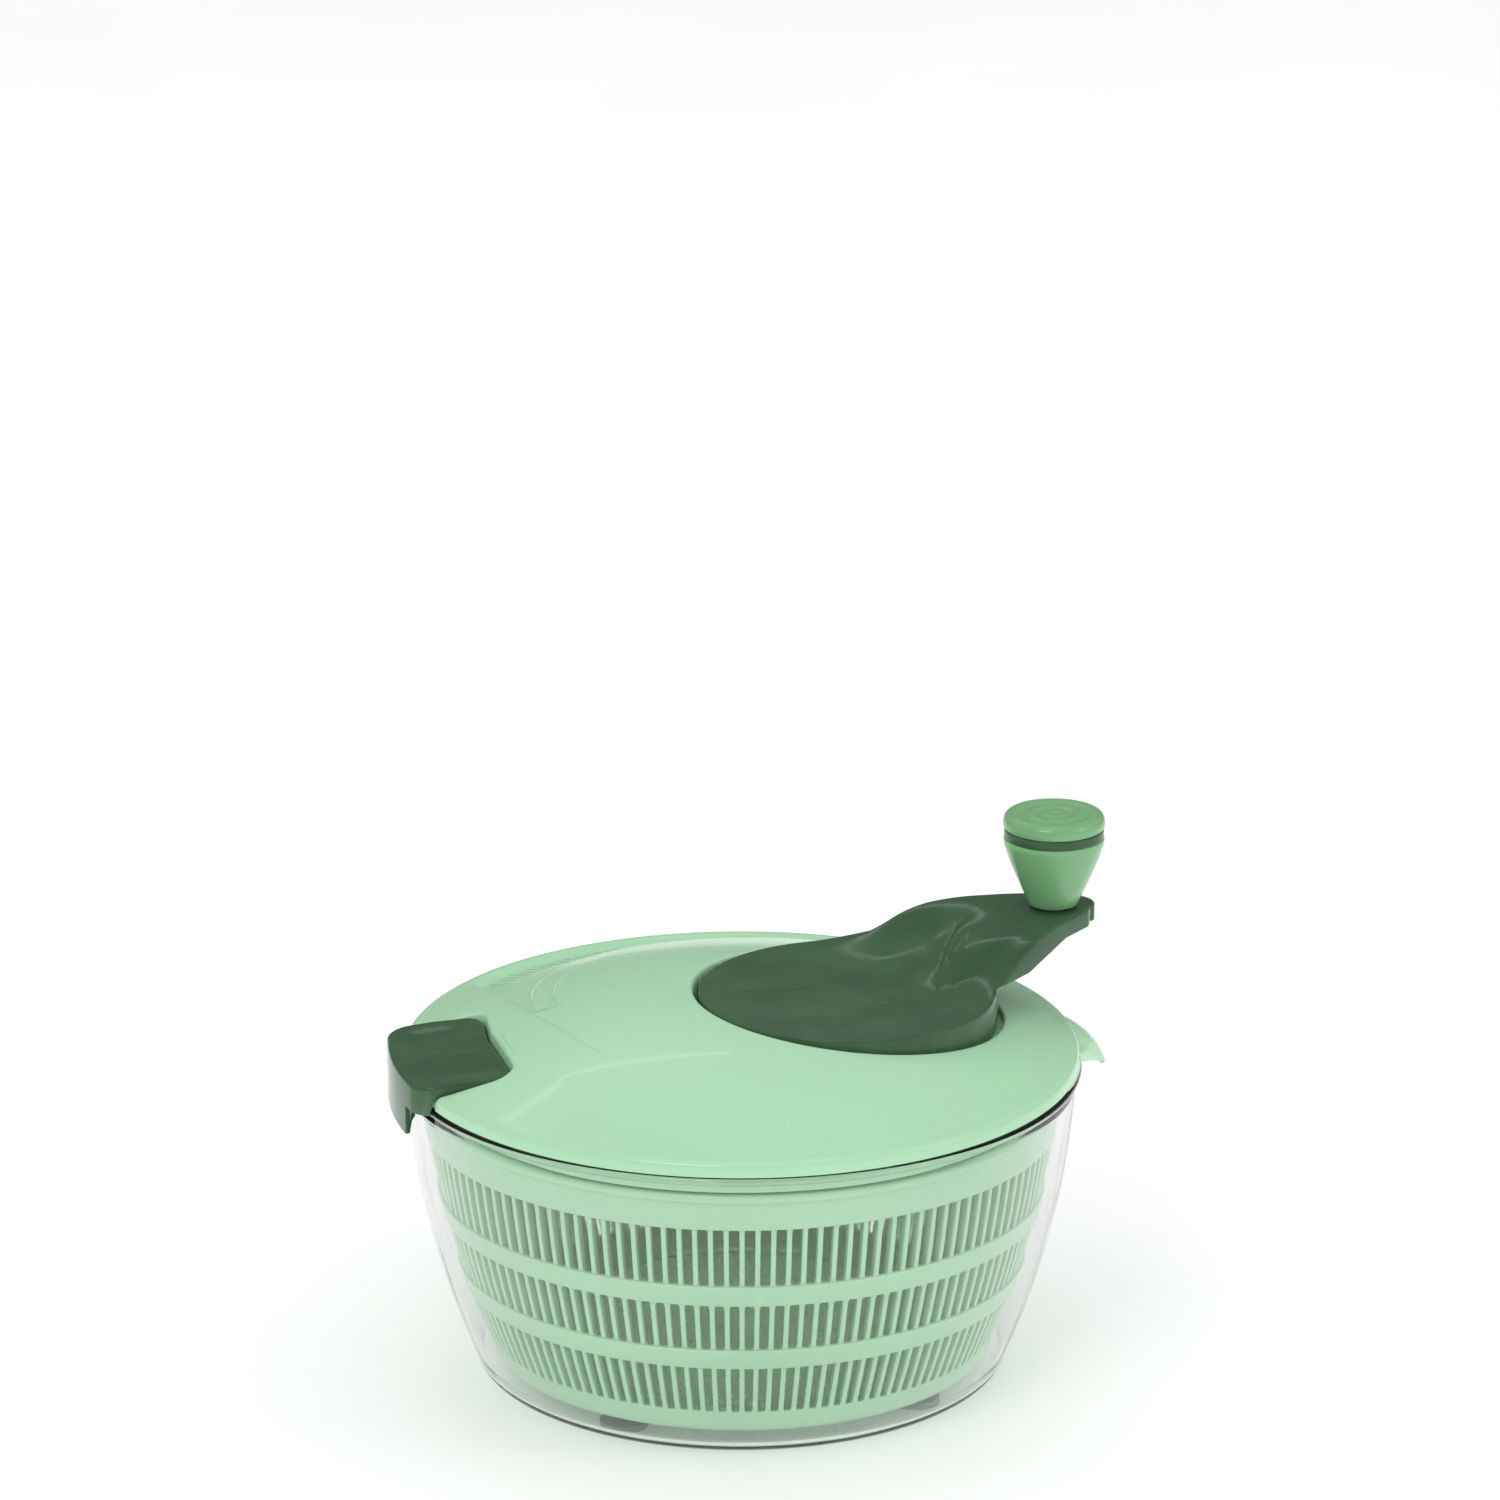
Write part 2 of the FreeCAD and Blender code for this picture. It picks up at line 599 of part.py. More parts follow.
def make_latch():
    body = new_body("latch")
    sketch = new_sketch(body, "side_outline", "XZ_Plane")
    boss = "latch_boss_radius"
    add_outline(sketch, [
        ("latch_inner_reach", "latch_pivot_up + 5"),
        ("latch_inner_reach + 2", "latch_pivot_up + 2"),
        ("latch_pivot_reach - 7", "latch_pivot_up - 0.5"),
        (f"latch_pivot_reach - {boss}", "latch_pivot_up", boss),
        (f"latch_pivot_reach", f"latch_pivot_up - {boss}", boss),
        (f"latch_pivot_reach + {boss}", "latch_pivot_up"),
        ("latch_pivot_reach + 6", "latch_pivot_up - 1.2"),
        ("hook_inner_reach", "latch_pivot_up - 1.2"),
        ("hook_inner_reach", "hook_tooth_top"),
        ("hook_tooth_reach", "hook_tooth_top"),
        ("hook_tooth_reach", "hook_tooth_bottom"),
        ("hook_inner_reach", "hook_tooth_bottom - 1.5"),
        ("hook_inner_reach", "hook_bottom"),
        ("latch_outer_reach", "hook_bottom"),
        ("latch_outer_reach", "latch_pivot_up", "3"),
        ("latch_outer_reach - 3", "latch_pivot_up + 3", "-60"),
        ("latch_inner_reach + 4", "latch_pivot_up + 6.5", "3.5"),
    ])
    pad(body, "rocker", sketch, "2 * latch_half_width", midplane=True)
    plan = new_sketch(body, "corner_outline", "XY_Plane", offset="latch_pivot_up - 20")
    side, reach, corner = "latch_half_width", "latch_inner_reach", "latch_corner_radius"
    add_outline(plan, [
        (f"{reach} + {corner}", f"-{side}", f"-{corner}"),
        (reach, f"-{side} + {corner}"),
        (f"{reach} - 2", f"-{side} + {corner}"),
        (f"{reach} - 2", f"-{side} - 1"),
        (f"{reach} + {corner}", f"-{side} - 1"),
    ])
    add_outline(plan, [
        (reach, f"{side} - {corner}", f"-{corner}"),
        (f"{reach} + {corner}", side),
        (f"{reach} + {corner}", f"{side} + 1"),
        (f"{reach} - 2", f"{side} + 1"),
        (f"{reach} - 2", f"{side} - {corner}"),
    ])
    edge = "latch_outer_reach"
    add_outline(plan, [
        (edge, f"-{side} + {corner}", f"-{corner}"),
        (f"{edge} - {corner}", f"-{side}"),
        (f"{edge} - {corner}", f"-{side} - 1"),
        (f"{edge} + 1", f"-{side} - 1"),
        (f"{edge} + 1", f"-{side} + {corner}"),
    ])
    add_outline(plan, [
        (f"{edge} - {corner}", side, f"-{corner}"),
        (edge, f"{side} - {corner}"),
        (f"{edge} + 1", f"{side} - {corner}"),
        (f"{edge} + 1", f"{side} + 1"),
        (f"{edge} - {corner}", f"{side} + 1"),
    ])
    pocket(body, "rounded_corners", plan, "40", reverse=True)
    sides = new_sketch(body, "hook_sides_outline", "XY_Plane", offset="latch_skirt_bottom")
    for low, high in (("-latch_half_width - 1", "-hook_half_width"),
                      ("hook_half_width", "latch_half_width + 1")):
        add_outline(sides, [
            ("hook_tooth_reach - 1", low),
            ("latch_outer_reach + 1", low),
            ("latch_outer_reach + 1", high),
            ("hook_tooth_reach - 1", high),
        ])
    pocket(body, "hook_sides", sides, "latch_skirt_bottom - hook_bottom + 1")
    bore = new_sketch(body, "pivot_bore_outline", "XZ_Plane")
    add_circle(bore, "latch_pivot_reach", "latch_pivot_up", "latch_pin_radius + running_fit")
    pocket(body, "pivot_bore", bore, "2 * latch_half_width + 2", midplane=True)
    body.Placement = FreeCAD.Placement(FreeCAD.Vector(), FreeCAD.Rotation(FreeCAD.Vector(0, 0, 1), 180))
    return body


def make_latch_pin():
    body = new_body("latch_pin")
    sketch = new_sketch(body, "pin_outline", "XZ_Plane")
    add_circle(sketch, "latch_pivot_reach", "latch_pivot_up", "latch_pin_radius")
    pad(body, "pin", sketch, "2 * pin_half_length - 1", midplane=True)
    body.Placement = FreeCAD.Placement(FreeCAD.Vector(), FreeCAD.Rotation(FreeCAD.Vector(0, 0, 1), 180))
    return body


def make_crank():
    body = new_body("crank")
    disc = new_sketch(body, "disc_outline", "XY_Plane", offset="crank_bottom")
    add_circle(disc, "0", "0", "crank_radius")
    pad(body, "disc", disc, "arm_top - crank_bottom")
    # the arm's plan is bounded by the two lines that touch both the disc and the tip's circle
    lean = "(asin((crank_radius - arm_tip_radius) / knob_throw))"
    disc_touch = (f"crank_radius * sin({lean})", f"crank_radius * cos({lean})")
    tip_touch = (f"knob_throw + arm_tip_radius * sin({lean})", f"arm_tip_radius * cos({lean})")
    arm = new_sketch(body, "arm_outline", "XY_Plane", offset="arm_underside")
    add_outline(arm, [
        (disc_touch[0], f"-{disc_touch[1]}"),
        (tip_touch[0], f"-{tip_touch[1]}", "arm_tip_radius"),
        tip_touch,
        disc_touch,
    ])
    pad(body, "arm", arm, "arm_top - arm_underside")
    ramp = new_sketch(body, "ramp_outline", "XZ_Plane")
    middle = ("(arm_rise_start + arm_rise_end) / 2", "(crank_top + arm_top) / 2")
    add_outline(ramp, [
        ("-crank_radius - 2", "crank_top"),
        ("arm_rise_start", "crank_top", "arm_bow"),
        (*middle, "-arm_bow"),
        ("arm_rise_end", "arm_top"),
        ("arm_rise_end", "arm_top + 5"),
        ("-crank_radius - 2", "arm_top + 5"),
    ])
    pocket(body, "ramp", ramp, "2 * crank_radius + 4", midplane=True)
    relief = new_sketch(body, "tip_relief_outline", "XZ_Plane")
    add_outline(relief, [
        ("arm_tip_relief_start", "arm_underside - 1"),
        ("knob_throw + arm_tip_radius + 2", "arm_underside - 1"),
        ("knob_throw + arm_tip_radius + 2", "arm_tip_underside"),
        ("arm_tip_relief_end", "arm_tip_underside"),
        ("arm_tip_relief_start", "arm_underside"),
    ])
    pocket(body, "tip_relief", relief, "2 * crank_radius", midplane=True)
    hollow = new_sketch(body, "hollow_outline", "XY_Plane", offset="crank_bottom")
    add_circle(hollow, "0", "0", "crank_radius - crank_skin")
    add_circle(hollow, "0", "0", "shaft_radius")
    pocket(body, "hollow", hollow, "crank_top - crank_skin - crank_bottom", reverse=True)
    shaft = new_sketch(body, "shaft_outline", "XY_Plane", offset="gear_bottom + gear_height + 0.2")
    add_circle(shaft, "0", "0", "shaft_radius")
    pad(body, "shaft", shaft, "crank_bottom - gear_bottom - gear_height")
    key = new_sketch(body, "key_outline", "XY_Plane", offset="shaft_bottom")
    add_outline(key, hexagon("shaft_hex_radius"))
    pad(body, "key", key, "gear_bottom + gear_height + 0.2 - shaft_bottom")
    screw_hole = new_sketch(body, "screw_hole_outline", "XY_Plane", offset="shaft_bottom")
    add_circle(screw_hole, "0", "0", "screw_hole_radius")
    pocket(body, "screw_hole", screw_hole, "crank_screw_length + 1", reverse=True)
    spindle_hole = new_sketch(body, "spindle_hole_outline", "XY_Plane", offset="arm_top")
    add_circle(spindle_hole, "knob_throw", "0", "spindle_foot_radius")
    pocket(body, "spindle_hole", spindle_hole, "spindle_foot_depth")
    return turn_with_crank(body)


def turn_with_crank(body):
    """Stands a body on the crank's axis and turns it with the arm."""
    body.Placement = FreeCAD.Placement(FreeCAD.Vector(), FreeCAD.Rotation(FreeCAD.Vector(0, 0, 1), 1))
    body.setExpression(".Placement.Rotation.Angle", formula("crank_angle"))
    return move(body, x="crank_offset")


def stand_on_knob_axis(body):
    return move(body, "crank_offset + knob_throw * cos(crank_angle)", "knob_throw * sin(crank_angle)")


def make_knob_spindle():
    body = new_body("knob_spindle")
    revolve(body, "spindle", [
        ("0", "arm_top - spindle_foot_depth"),
        ("spindle_foot_radius", "arm_top - spindle_foot_depth"),
        ("spindle_foot_radius", "arm_top"),
        ("spindle_head_radius", "arm_top"),
        ("spindle_head_radius", "knob_bottom - lid_gap"),
        ("spindle_radius", "knob_bottom - lid_gap"),
        ("spindle_radius", "spindle_head_up"),
        ("spindle_head_radius", "spindle_head_up"),
        ("spindle_head_radius", "spindle_head_up + spindle_head_height"),
        ("0", "spindle_head_up + spindle_head_height"),
    ])
    return stand_on_knob_axis(body)


def make_knob_body():
    body = new_body("knob_body")
    revolve(body, "cone", [
        ("spindle_radius + running_fit", "knob_bottom"),
        ("knob_foot_radius - edge_break", "knob_bottom"),
        ("knob_foot_radius", "knob_bottom + edge_break"),
        ("knob_radius - 1", "knob_cone_up", "12"),
        ("knob_radius", "knob_body_top"),
        ("knob_socket_radius", "knob_body_top"),
        ("knob_socket_radius", "spindle_head_up - lid_gap"),
        ("spindle_radius + running_fit", "spindle_head_up - lid_gap"),
    ])
    return stand_on_knob_axis(body)


def make_knob_band():
    body = new_body("knob_band")
    revolve(body, "ring", [
        ("knob_socket_radius + running_fit", "knob_body_top"),
        ("knob_radius - 0.2", "knob_body_top"),
        ("knob_radius - 0.2", "band_top"),
        ("knob_socket_radius + running_fit", "band_top"),
    ])
    return stand_on_knob_axis(body)


def make_knob_cap():
    body = new_body("knob_cap")
    face = "(knob_top - cap_ridge)"
    revolve(body, "cap", [
        ("0", "spindle_head_up + spindle_head_height + 1.5"),
        ("0.7 * knob_socket_radius", "spindle_head_up + spindle_head_height + 1.5"),
        ("0.7 * knob_socket_radius", "spindle_head_up"),
        ("knob_socket_radius - running_fit", "spindle_head_up"),
        ("knob_socket_radius - running_fit", "band_top"),
        ("cap_radius - edge_break", "band_top"),
        ("cap_radius", "band_top + edge_break"),
        ("cap_radius", "band_top + 2", "3"),
        ("cap_radius - 2.5", "knob_top"),
        ("cap_radius - 5", "knob_top"),
        ("cap_radius - 6.5", face),
        ("cap_radius - 9", face),
        ("cap_radius - 10.5", "knob_top"),
        ("cap_radius - 12.5", "knob_top"),
        ("cap_radius - 14", face),
        ("0", face),
    ])
    return stand_on_knob_axis(body)


def flank_angle(teeth, radius, backlash=0.12):
    """Half the angle of the gap between two teeth at a radius, on an involute of 20 degrees' pressure."""
    pitch_radius = number("gear_module") * teeth / 2
    base_radius = pitch_radius * math.cos(math.radians(20))
    pressure = math.acos(min(base_radius / radius, 1))
    involute = math.tan(pressure) - pressure
    at_pitch = math.tan(math.radians(20)) - math.radians(20)
    half_tooth = math.pi / (2 * teeth) - backlash / pitch_radius + at_pitch - involute
    return math.degrees(math.pi / teeth - half_tooth)


def add_teeth(body, teeth_name, bottom, height, turn):
    """A toothed wheel: a disc to the teeth's tips, with one gap cut and repeated for every tooth."""
    teeth = int(number(teeth_name))
    wheel = new_sketch(body, "wheel_outline", "XY_Plane", offset=bottom)
    tip = f"(gear_module * ({teeth_name} / 2 + 1))"
    root = f"(gear_module * ({teeth_name} / 2 - 1.25))"
    pitch = f"(gear_module * {teeth_name} / 2)"
    add_circle(wheel, "0", "0", tip)
    pad(body, "wheel", wheel, height)
    gap = new_sketch(body, "gap_outline", "XY_Plane", offset=bottom)
    steps = [root, f"({root} + {pitch}) / 2", pitch, f"({pitch} + {tip}) / 2", tip, f"({tip} + 0.5)"]
    halves = [(radius, flank_angle(teeth, number(radius))) for radius in steps]
    flank = [(f"{radius} * cos({turn + half:.5f})", f"{radius} * sin({turn + half:.5f})")
             for radius, half in halves]
    other = [(f"{radius} * cos({turn - half:.5f})", f"{radius} * sin({turn - half:.5f})")
             for radius, half in halves]
    add_outline(gap, other + flank[::-1])
    tooth_gap = pocket(body, "tooth_gap", gap, height, reverse=True)
    polar_pattern(body, "teeth", [tooth_gap], teeth_name)


def make_crank_gear():
    body = new_body("crank_gear")
    # a tooth faces the pinion, on the gear's -X side
    add_teeth(body, "crank_teeth", "gear_bottom", "gear_height", turn=180 + 180 / number("crank_teeth"))
    bore = new_sketch(body, "bore_outline", "XY_Plane", offset="gear_bottom")
    # the key turns with the arm, so its socket is set to the arm's angle
    add_outline(bore, hexagon("shaft_hex_radius + running_fit", "crank_angle"))
    pocket(body, "bore", bore, "gear_height", reverse=True)
    return move(body, x="crank_offset")


def make_drive_pinion():
    body = new_body("drive_pinion")
    # a gap faces the crank gear, on the pinion's +X side
    add_teeth(body, "pinion_teeth", "plate_top + pinion_flange_height",
              "pinion_top - plate_top - pinion_flange_height", turn=0)
    flange = new_sketch(body, "flange_outline", "XY_Plane", offset="plate_top")
    add_circle(flange, "0", "0", "pinion_flange_radius")
    pad(body, "flange", flange, "pinion_flange_height")
    spigot = new_sketch(body, "spigot_outline", "XY_Plane", offset="plate_top - plate_thickness")
    add_outline(spigot, hexagon("pinion_hex_radius"))
    pad(body, "spigot", spigot, "plate_thickness")
    bore = new_sketch(body, "bore_outline", "XY_Plane", offset="plate_top - plate_thickness")
    add_circle(bore, "0", "0", "post_radius + running_fit")
    pocket(body, "bore", bore, "pinion_top - plate_top + plate_thickness", reverse=True)
    return body


def make_drive_plate():
    body = new_body("drive_plate")
    plate = new_sketch(body, "plate_outline", "XY_Plane", offset="plate_top - plate_thickness")
    add_circle(plate, "0", "0", "plate_radius")
    pad(body, "plate", plate, "plate_thickness")
    hub = new_sketch(body, "hub_outline", "XY_Plane", offset="plate_top - plate_thickness - plate_hub_drop")
    add_circle(hub, "0", "0", "plate_hub_radius")
    pad(body, "hub", hub, "plate_hub_drop")
    socket = new_sketch(body, "socket_outline", "XY_Plane", offset="plate_top - plate_thickness")
    add_outline(socket, hexagon("pinion_hex_radius + running_fit"))
    pocket(body, "socket", socket, "plate_thickness", reverse=True)
    bore = new_sketch(body, "bore_outline", "XY_Plane", offset="plate_top - plate_thickness - plate_hub_drop")
    add_circle(bore, "0", "0", "post_radius + running_fit")
    pocket(body, "bore", bore, "plate_hub_drop", reverse=True)
    window = new_sketch(body, "window_outline", "XY_Plane", offset="plate_top - plate_thickness")
    add_circle(window, "plate_hole_pitch_radius", "0", "plate_hole_radius")
    hole = pocket(body, "window", window, "plate_thickness", reverse=True)
    polar_pattern(body, "windows", [hole], "plate_hole_count")
    fin = new_sketch(body, "fin_outline", "XZ_Plane")
    add_outline(fin, [
        ("fin_tip_inner_reach", "fin_tip_up + 1.5"),
        ("fin_tip_inner_reach + 1.5", "fin_tip_up"),
        ("fin_tip_reach - 1.5", "fin_tip_up"),
        ("fin_tip_reach", "fin_tip_up + 1.5"),
        ("fin_outer_reach", "plate_top - plate_thickness + 0.5"),
        ("fin_inner_reach", "plate_top - plate_thickness + 0.5"),
        ("fin_inner_reach + 1", "plate_top - plate_thickness - 5"),
    ])
    blade = pad(body, "fin", fin, "fin_width", midplane=True)
    polar_pattern(body, "fins", [blade], "fin_count")
    return body


def make_washer(name, top, x=0):
    body = new_body(name)
    revolve(body, "ring", [
        ("screw_hole_radius", f"{top} - washer_height"),
        ("washer_radius", f"{top} - washer_height"),
        ("washer_radius", top),
        ("screw_hole_radius", top),
    ])
    return move(body, x=x)


def make_screw(name, seat, length, x=0):
    """A pan-head screw driven upwards, with its head against the underside of a washer."""
    body = new_body(name)
    revolve(body, "screw", [
        ("0", f"{seat} - screw_head_height"),
        ("screw_head_radius - 1", f"{seat} - screw_head_height"),
        ("screw_head_radius", f"{seat} - screw_head_height + 1"),
        ("screw_head_radius", seat),
        ("screw_radius", seat),
        ("screw_radius", f"{seat} + {length} - 1"),
        ("0", f"{seat} + {length}"),
    ])
    slot = new_sketch(body, "driver_slot_outline", "XZ_Plane")
    add_outline(slot, [
        ("-screw_head_radius", f"{seat} - screw_head_height - 0.1"),
        ("screw_head_radius", f"{seat} - screw_head_height - 0.1"),
        ("screw_head_radius", f"{seat} - screw_head_height + 0.9"),
        ("-screw_head_radius", f"{seat} - screw_head_height + 0.9"),
    ])
    pocket(body, "driver_slot", slot, "0.9", midplane=True)
    return move(body, x=x)


parts = [make_bowl(), *(make_foot(n) for n in range(1, 5)), make_basket(), make_lid_cover(), make_latch(),
         make_latch_pin(), make_crank(), make_crank_gear(),
         make_washer("crank_washer", "gear_bottom", x="crank_offset"),
         make_screw("crank_screw", "(gear_bottom - washer_height)", "crank_screw_length", x="crank_offset"),
         make_knob_spindle(), make_knob_body(), make_knob_band(), make_knob_cap(),
         make_drive_plate(), make_drive_pinion(),
         make_washer("plate_washer", "post_bottom"),
         make_screw("plate_screw", "(post_bottom - washer_height)", "plate_screw_length")]
document.recompute()

failed = [feature.Name for feature in document.Objects if {"Invalid", "Error"} & set(feature.State)]
if failed:
    raise RuntimeError(f"features that could not be built: {failed}")
for part in parts:
    if part.Shape.isNull() or not part.Shape.isValid() or not part.Shape.Solids:
        raise RuntimeError(f"{part.Label} has no valid solid")

os.makedirs("parts", exist_ok=True)
for part in parts:
    part.Shape.exportStep(f"parts/{part.Label}.step")
    box = part.Shape.BoundBox
    print(f"{part.Label:14} {part.Shape.Volume / 1000:8.2f} cm3  {len(part.Shape.Solids)} solid  "
          f"x {box.XMin:7.2f} {box.XMax:7.2f}  y {box.YMin:7.2f} {box.YMax:7.2f}  "
          f"z {box.ZMin:7.2f} {box.ZMax:7.2f}")
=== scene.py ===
import bmesh
import bpy
import math
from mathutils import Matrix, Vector
from mathutils.geometry import delaunay_2d_cdt
from mathutils.kdtree import KDTree


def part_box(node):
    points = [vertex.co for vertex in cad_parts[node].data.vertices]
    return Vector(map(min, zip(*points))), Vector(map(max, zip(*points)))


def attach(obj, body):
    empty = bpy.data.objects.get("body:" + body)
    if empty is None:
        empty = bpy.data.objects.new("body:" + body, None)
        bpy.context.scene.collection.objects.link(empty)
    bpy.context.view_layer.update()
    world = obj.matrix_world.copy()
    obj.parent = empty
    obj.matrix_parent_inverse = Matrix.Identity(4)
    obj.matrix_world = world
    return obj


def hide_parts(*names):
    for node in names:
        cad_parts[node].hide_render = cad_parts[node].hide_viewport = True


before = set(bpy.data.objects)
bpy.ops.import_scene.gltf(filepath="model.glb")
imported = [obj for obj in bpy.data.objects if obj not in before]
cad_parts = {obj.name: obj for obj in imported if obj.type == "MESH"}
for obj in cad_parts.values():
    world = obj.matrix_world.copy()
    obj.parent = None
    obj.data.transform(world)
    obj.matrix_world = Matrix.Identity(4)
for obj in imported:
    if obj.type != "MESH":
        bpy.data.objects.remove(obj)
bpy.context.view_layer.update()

# Shapes are worked out in millimetres in the part's frame and turned to metres as each mesh is made.
MM = 0.001
AROUND = 256


def extent(node):
    low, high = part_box(node)
    return low / MM, high / MM


bowl_low, bowl_high = extent("bowl")
basket_low, basket_high = extent("basket")
lid_high = extent("lid_cover")[1]
latch_low, latch_high = extent("latch")
cap_low, cap_high = extent("knob_cap")
band_low, band_high = extent("knob_band")
cone_low, cone_high = extent("knob_body")
gear_low, gear_high = extent("crank_gear")

knob_axis = ((cap_low + cap_high) / 2).xy
crank_axis = ((gear_low + gear_high) / 2).xy
crank_turn = math.atan2(knob_axis.y - crank_axis.y, knob_axis.x - crank_axis.x)
knob_throw = (knob_axis - crank_axis).length


# ---------------------------------------------------------------- shapes

def smooth(value):
    """0 below 0, 1 above 1, and an even ramp with level ends between them."""
    value = min(max(value, 0), 1)
    return value * value * (3 - 2 * value)


def rounded_over(distance, radius):
    """How far a rounded edge lies below its surface at a distance from the edge."""
    return radius - math.sqrt(radius**2 - (radius - min(max(distance, 0), radius)) ** 2)


def rounded(corners, steps=5):
    """A closed outline from corners of (x, y, radius of the rounding)."""
    outline = []
    for index, (x, y, radius) in enumerate(corners):
        here = Vector((x, y))
        if radius == 0:
            outline.append((x, y))
            continue
        back = (Vector(corners[index - 1][:2]) - here).normalized()
        ahead = (Vector(corners[(index + 1) % len(corners)][:2]) - here).normalized()
        half = back.angle(ahead) / 2
        centre = here + (back + ahead).normalized() * radius / math.sin(half)
        start = here + back * radius / math.tan(half) - centre
        stop = here + ahead * radius / math.tan(half) - centre
        first = math.atan2(start.y, start.x)
        sweep = (math.atan2(stop.y, stop.x) - first + math.pi) % (2 * math.pi) - math.pi
        for step in range(steps + 1):
            angle = first + sweep * step / steps
            outline.append((centre.x + radius * math.cos(angle), centre.y + radius * math.sin(angle)))
    return outline


def circle(radius, centre=(0, 0), steps=AROUND, start=0, turn=2 * math.pi):
    """Points round a circle: a closed loop, or an arc with both its ends where turn is given."""
    count = steps if turn == 2 * math.pi else steps + 1
    return [(centre[0] + radius * math.cos(start + turn * step / steps),
             centre[1] + radius * math.sin(start + turn * step / steps)) for step in range(count)]


def turned(loop, turn):
    """A loop turned about the lid's and the basket's common axis."""
    cos, sin = math.cos(turn), math.sin(turn)
    return [(x * cos - y * sin, x * sin + y * cos) for x, y in loop]


def revolved(outline, centre=(0, 0), steps=AROUND):
    """A solid from a closed outline of (radius, height) points swept round an upright axis."""
    points, faces, rings = [], [], []
    for radius, height in outline:
        count = 1 if radius < 1e-6 else steps
        rings.append(range(len(points), len(points) + count))
        for step in range(count):
            angle = 2 * math.pi * step / steps
            points.append((centre[0] + radius * math.cos(angle), centre[1] + radius * math.sin(angle),
                           height))
    for index, ring in enumerate(rings):
        following = rings[(index + 1) % len(rings)]
        for step in range(steps):
            after = (step + 1) % steps
            corners = [ring[step % len(ring)], ring[after % len(ring)],
                       following[after % len(following)], following[step % len(following)]]
            corners = list(dict.fromkeys(corners))
            if len(corners) > 2:
                faces.append(corners)
    return points, faces


def loft(sections):
    """A closed bar through sections that all have the same number of (x, y, z) points."""
    count = len(sections[0])
    points = [point for section in sections for point in section]
    faces = [tuple(range(count)), tuple(range(len(points) - count, len(points)))]
    for level in range(len(sections) - 1):
        base = level * count
        for step in range(count):
            after = (step + 1) % count
            faces.append((base + step, base + after, base + count + after, base + count + step))
    return points, faces


def joined(*shapes):
    points, faces = [], []
    for its_points, its_faces in shapes:
        faces += [[corner + len(points) for corner in face] for face in its_faces]
        points += its_points
    return points, faces


def moved(shape, turn=0, shift=(0, 0)):
    points, faces = shape
    cos, sin = math.cos(turn), math.sin(turn)
    return [(x * cos - y * sin + shift[0], x * sin + y * cos + shift[1], z) for x, y, z in points], faces


def inside(loop, x, y):
    crossed = False
    for index, (bx, by) in enumerate(loop):
        ax, ay = loop[index - 1]
        if (ay > y) != (by > y) and x < ax + (y - ay) / (by - ay) * (bx - ax):
            crossed = not crossed
    return crossed


def distance_outside(loop):
    """A function that says how far outside a closed loop a point lies, and is negative inside it."""
    tree = KDTree(len(loop))
    for index, (x, y) in enumerate(loop):
        tree.insert((x, y, 0), index)
    tree.balance()

    def distance(x, y):
        here = Vector((x, y))
        nearest = 1e9
        for _, index, _ in tree.find_n((x, y, 0), 3):
            for first, second in ((index - 1, index), (index, (index + 1) % len(loop))):
                a, b = Vector(loop[first]), Vector(loop[second])
                along = min(max((here - a).dot(b - a) / max((b - a).length_squared, 1e-9), 0), 1)
                nearest = min(nearest, (here - a - (b - a) * along).length)
        return -nearest if inside(loop, x, y) else nearest
    return distance


def lattice(reach, pitch, centre=(0, 0)):
    """Evenly spread points of a triangular lattice within a circle."""
    rows = int(reach / (pitch * 0.866)) + 1
    columns = int(reach / pitch) + 1
    points = []
    for row in range(-rows, rows + 1):
        for column in range(-columns, columns + 1):
            x, y = (column + 0.5 * (row % 2)) * pitch, row * pitch * 0.866
            if math.hypot(x, y) < reach:
                points.append((centre[0] + x, centre[1] + y))
    return points


def plan_shell(outline, holes, lines, fill, top, bottom, clear=0.7):
    """A closed shell whose plan is an outline with holes, between the heights top(x, y) and bottom(x, y).
    Lines are loops or (open) paths that the shell's edges follow, and fill is points between them."""
    plan, edges, faces = [], [], []
    for loop in [outline, *holes]:
        faces.append(list(range(len(plan), len(plan) + len(loop))))
        plan += loop
    for path, closed in lines:
        numbers = list(range(len(plan), len(plan) + len(path)))
        plan += path
        edges += list(zip(numbers, numbers[1:] + numbers[:1] if closed else numbers[1:]))
    tree = KDTree(len(plan))
    for index, (x, y) in enumerate(plan):
        tree.insert((x, y, 0), index)
    tree.balance()
    plan += [(x, y) for x, y in fill if tree.find((x, y, 0))[2] > clear]
    found, _, triangles, _, _, owners = delaunay_2d_cdt(
        [Vector(p) for p in plan], edges, faces, 0, 1e-4, True)
    triangles = [face for face, owner in zip(triangles, owners) if 0 in owner and len(set(owner)) == 1]
    count = len(found)
    points = [(x, y, top(x, y)) for x, y in found] + [(x, y, bottom(x, y)) for x, y in found]
    shell = [tuple(face) for face in triangles]
    shell += [tuple(corner + count for corner in face[::-1]) for face in triangles]
    used = {}
    for face in triangles:
        for index, corner in enumerate(face):
            edge = (face[index - 1], corner)
            used[tuple(sorted(edge))] = None if tuple(sorted(edge)) in used else edge
    for edge in filter(None, used.values()):
        shell.append((edge[1], edge[0], edge[0] + count, edge[1] + count))
    return points, shell


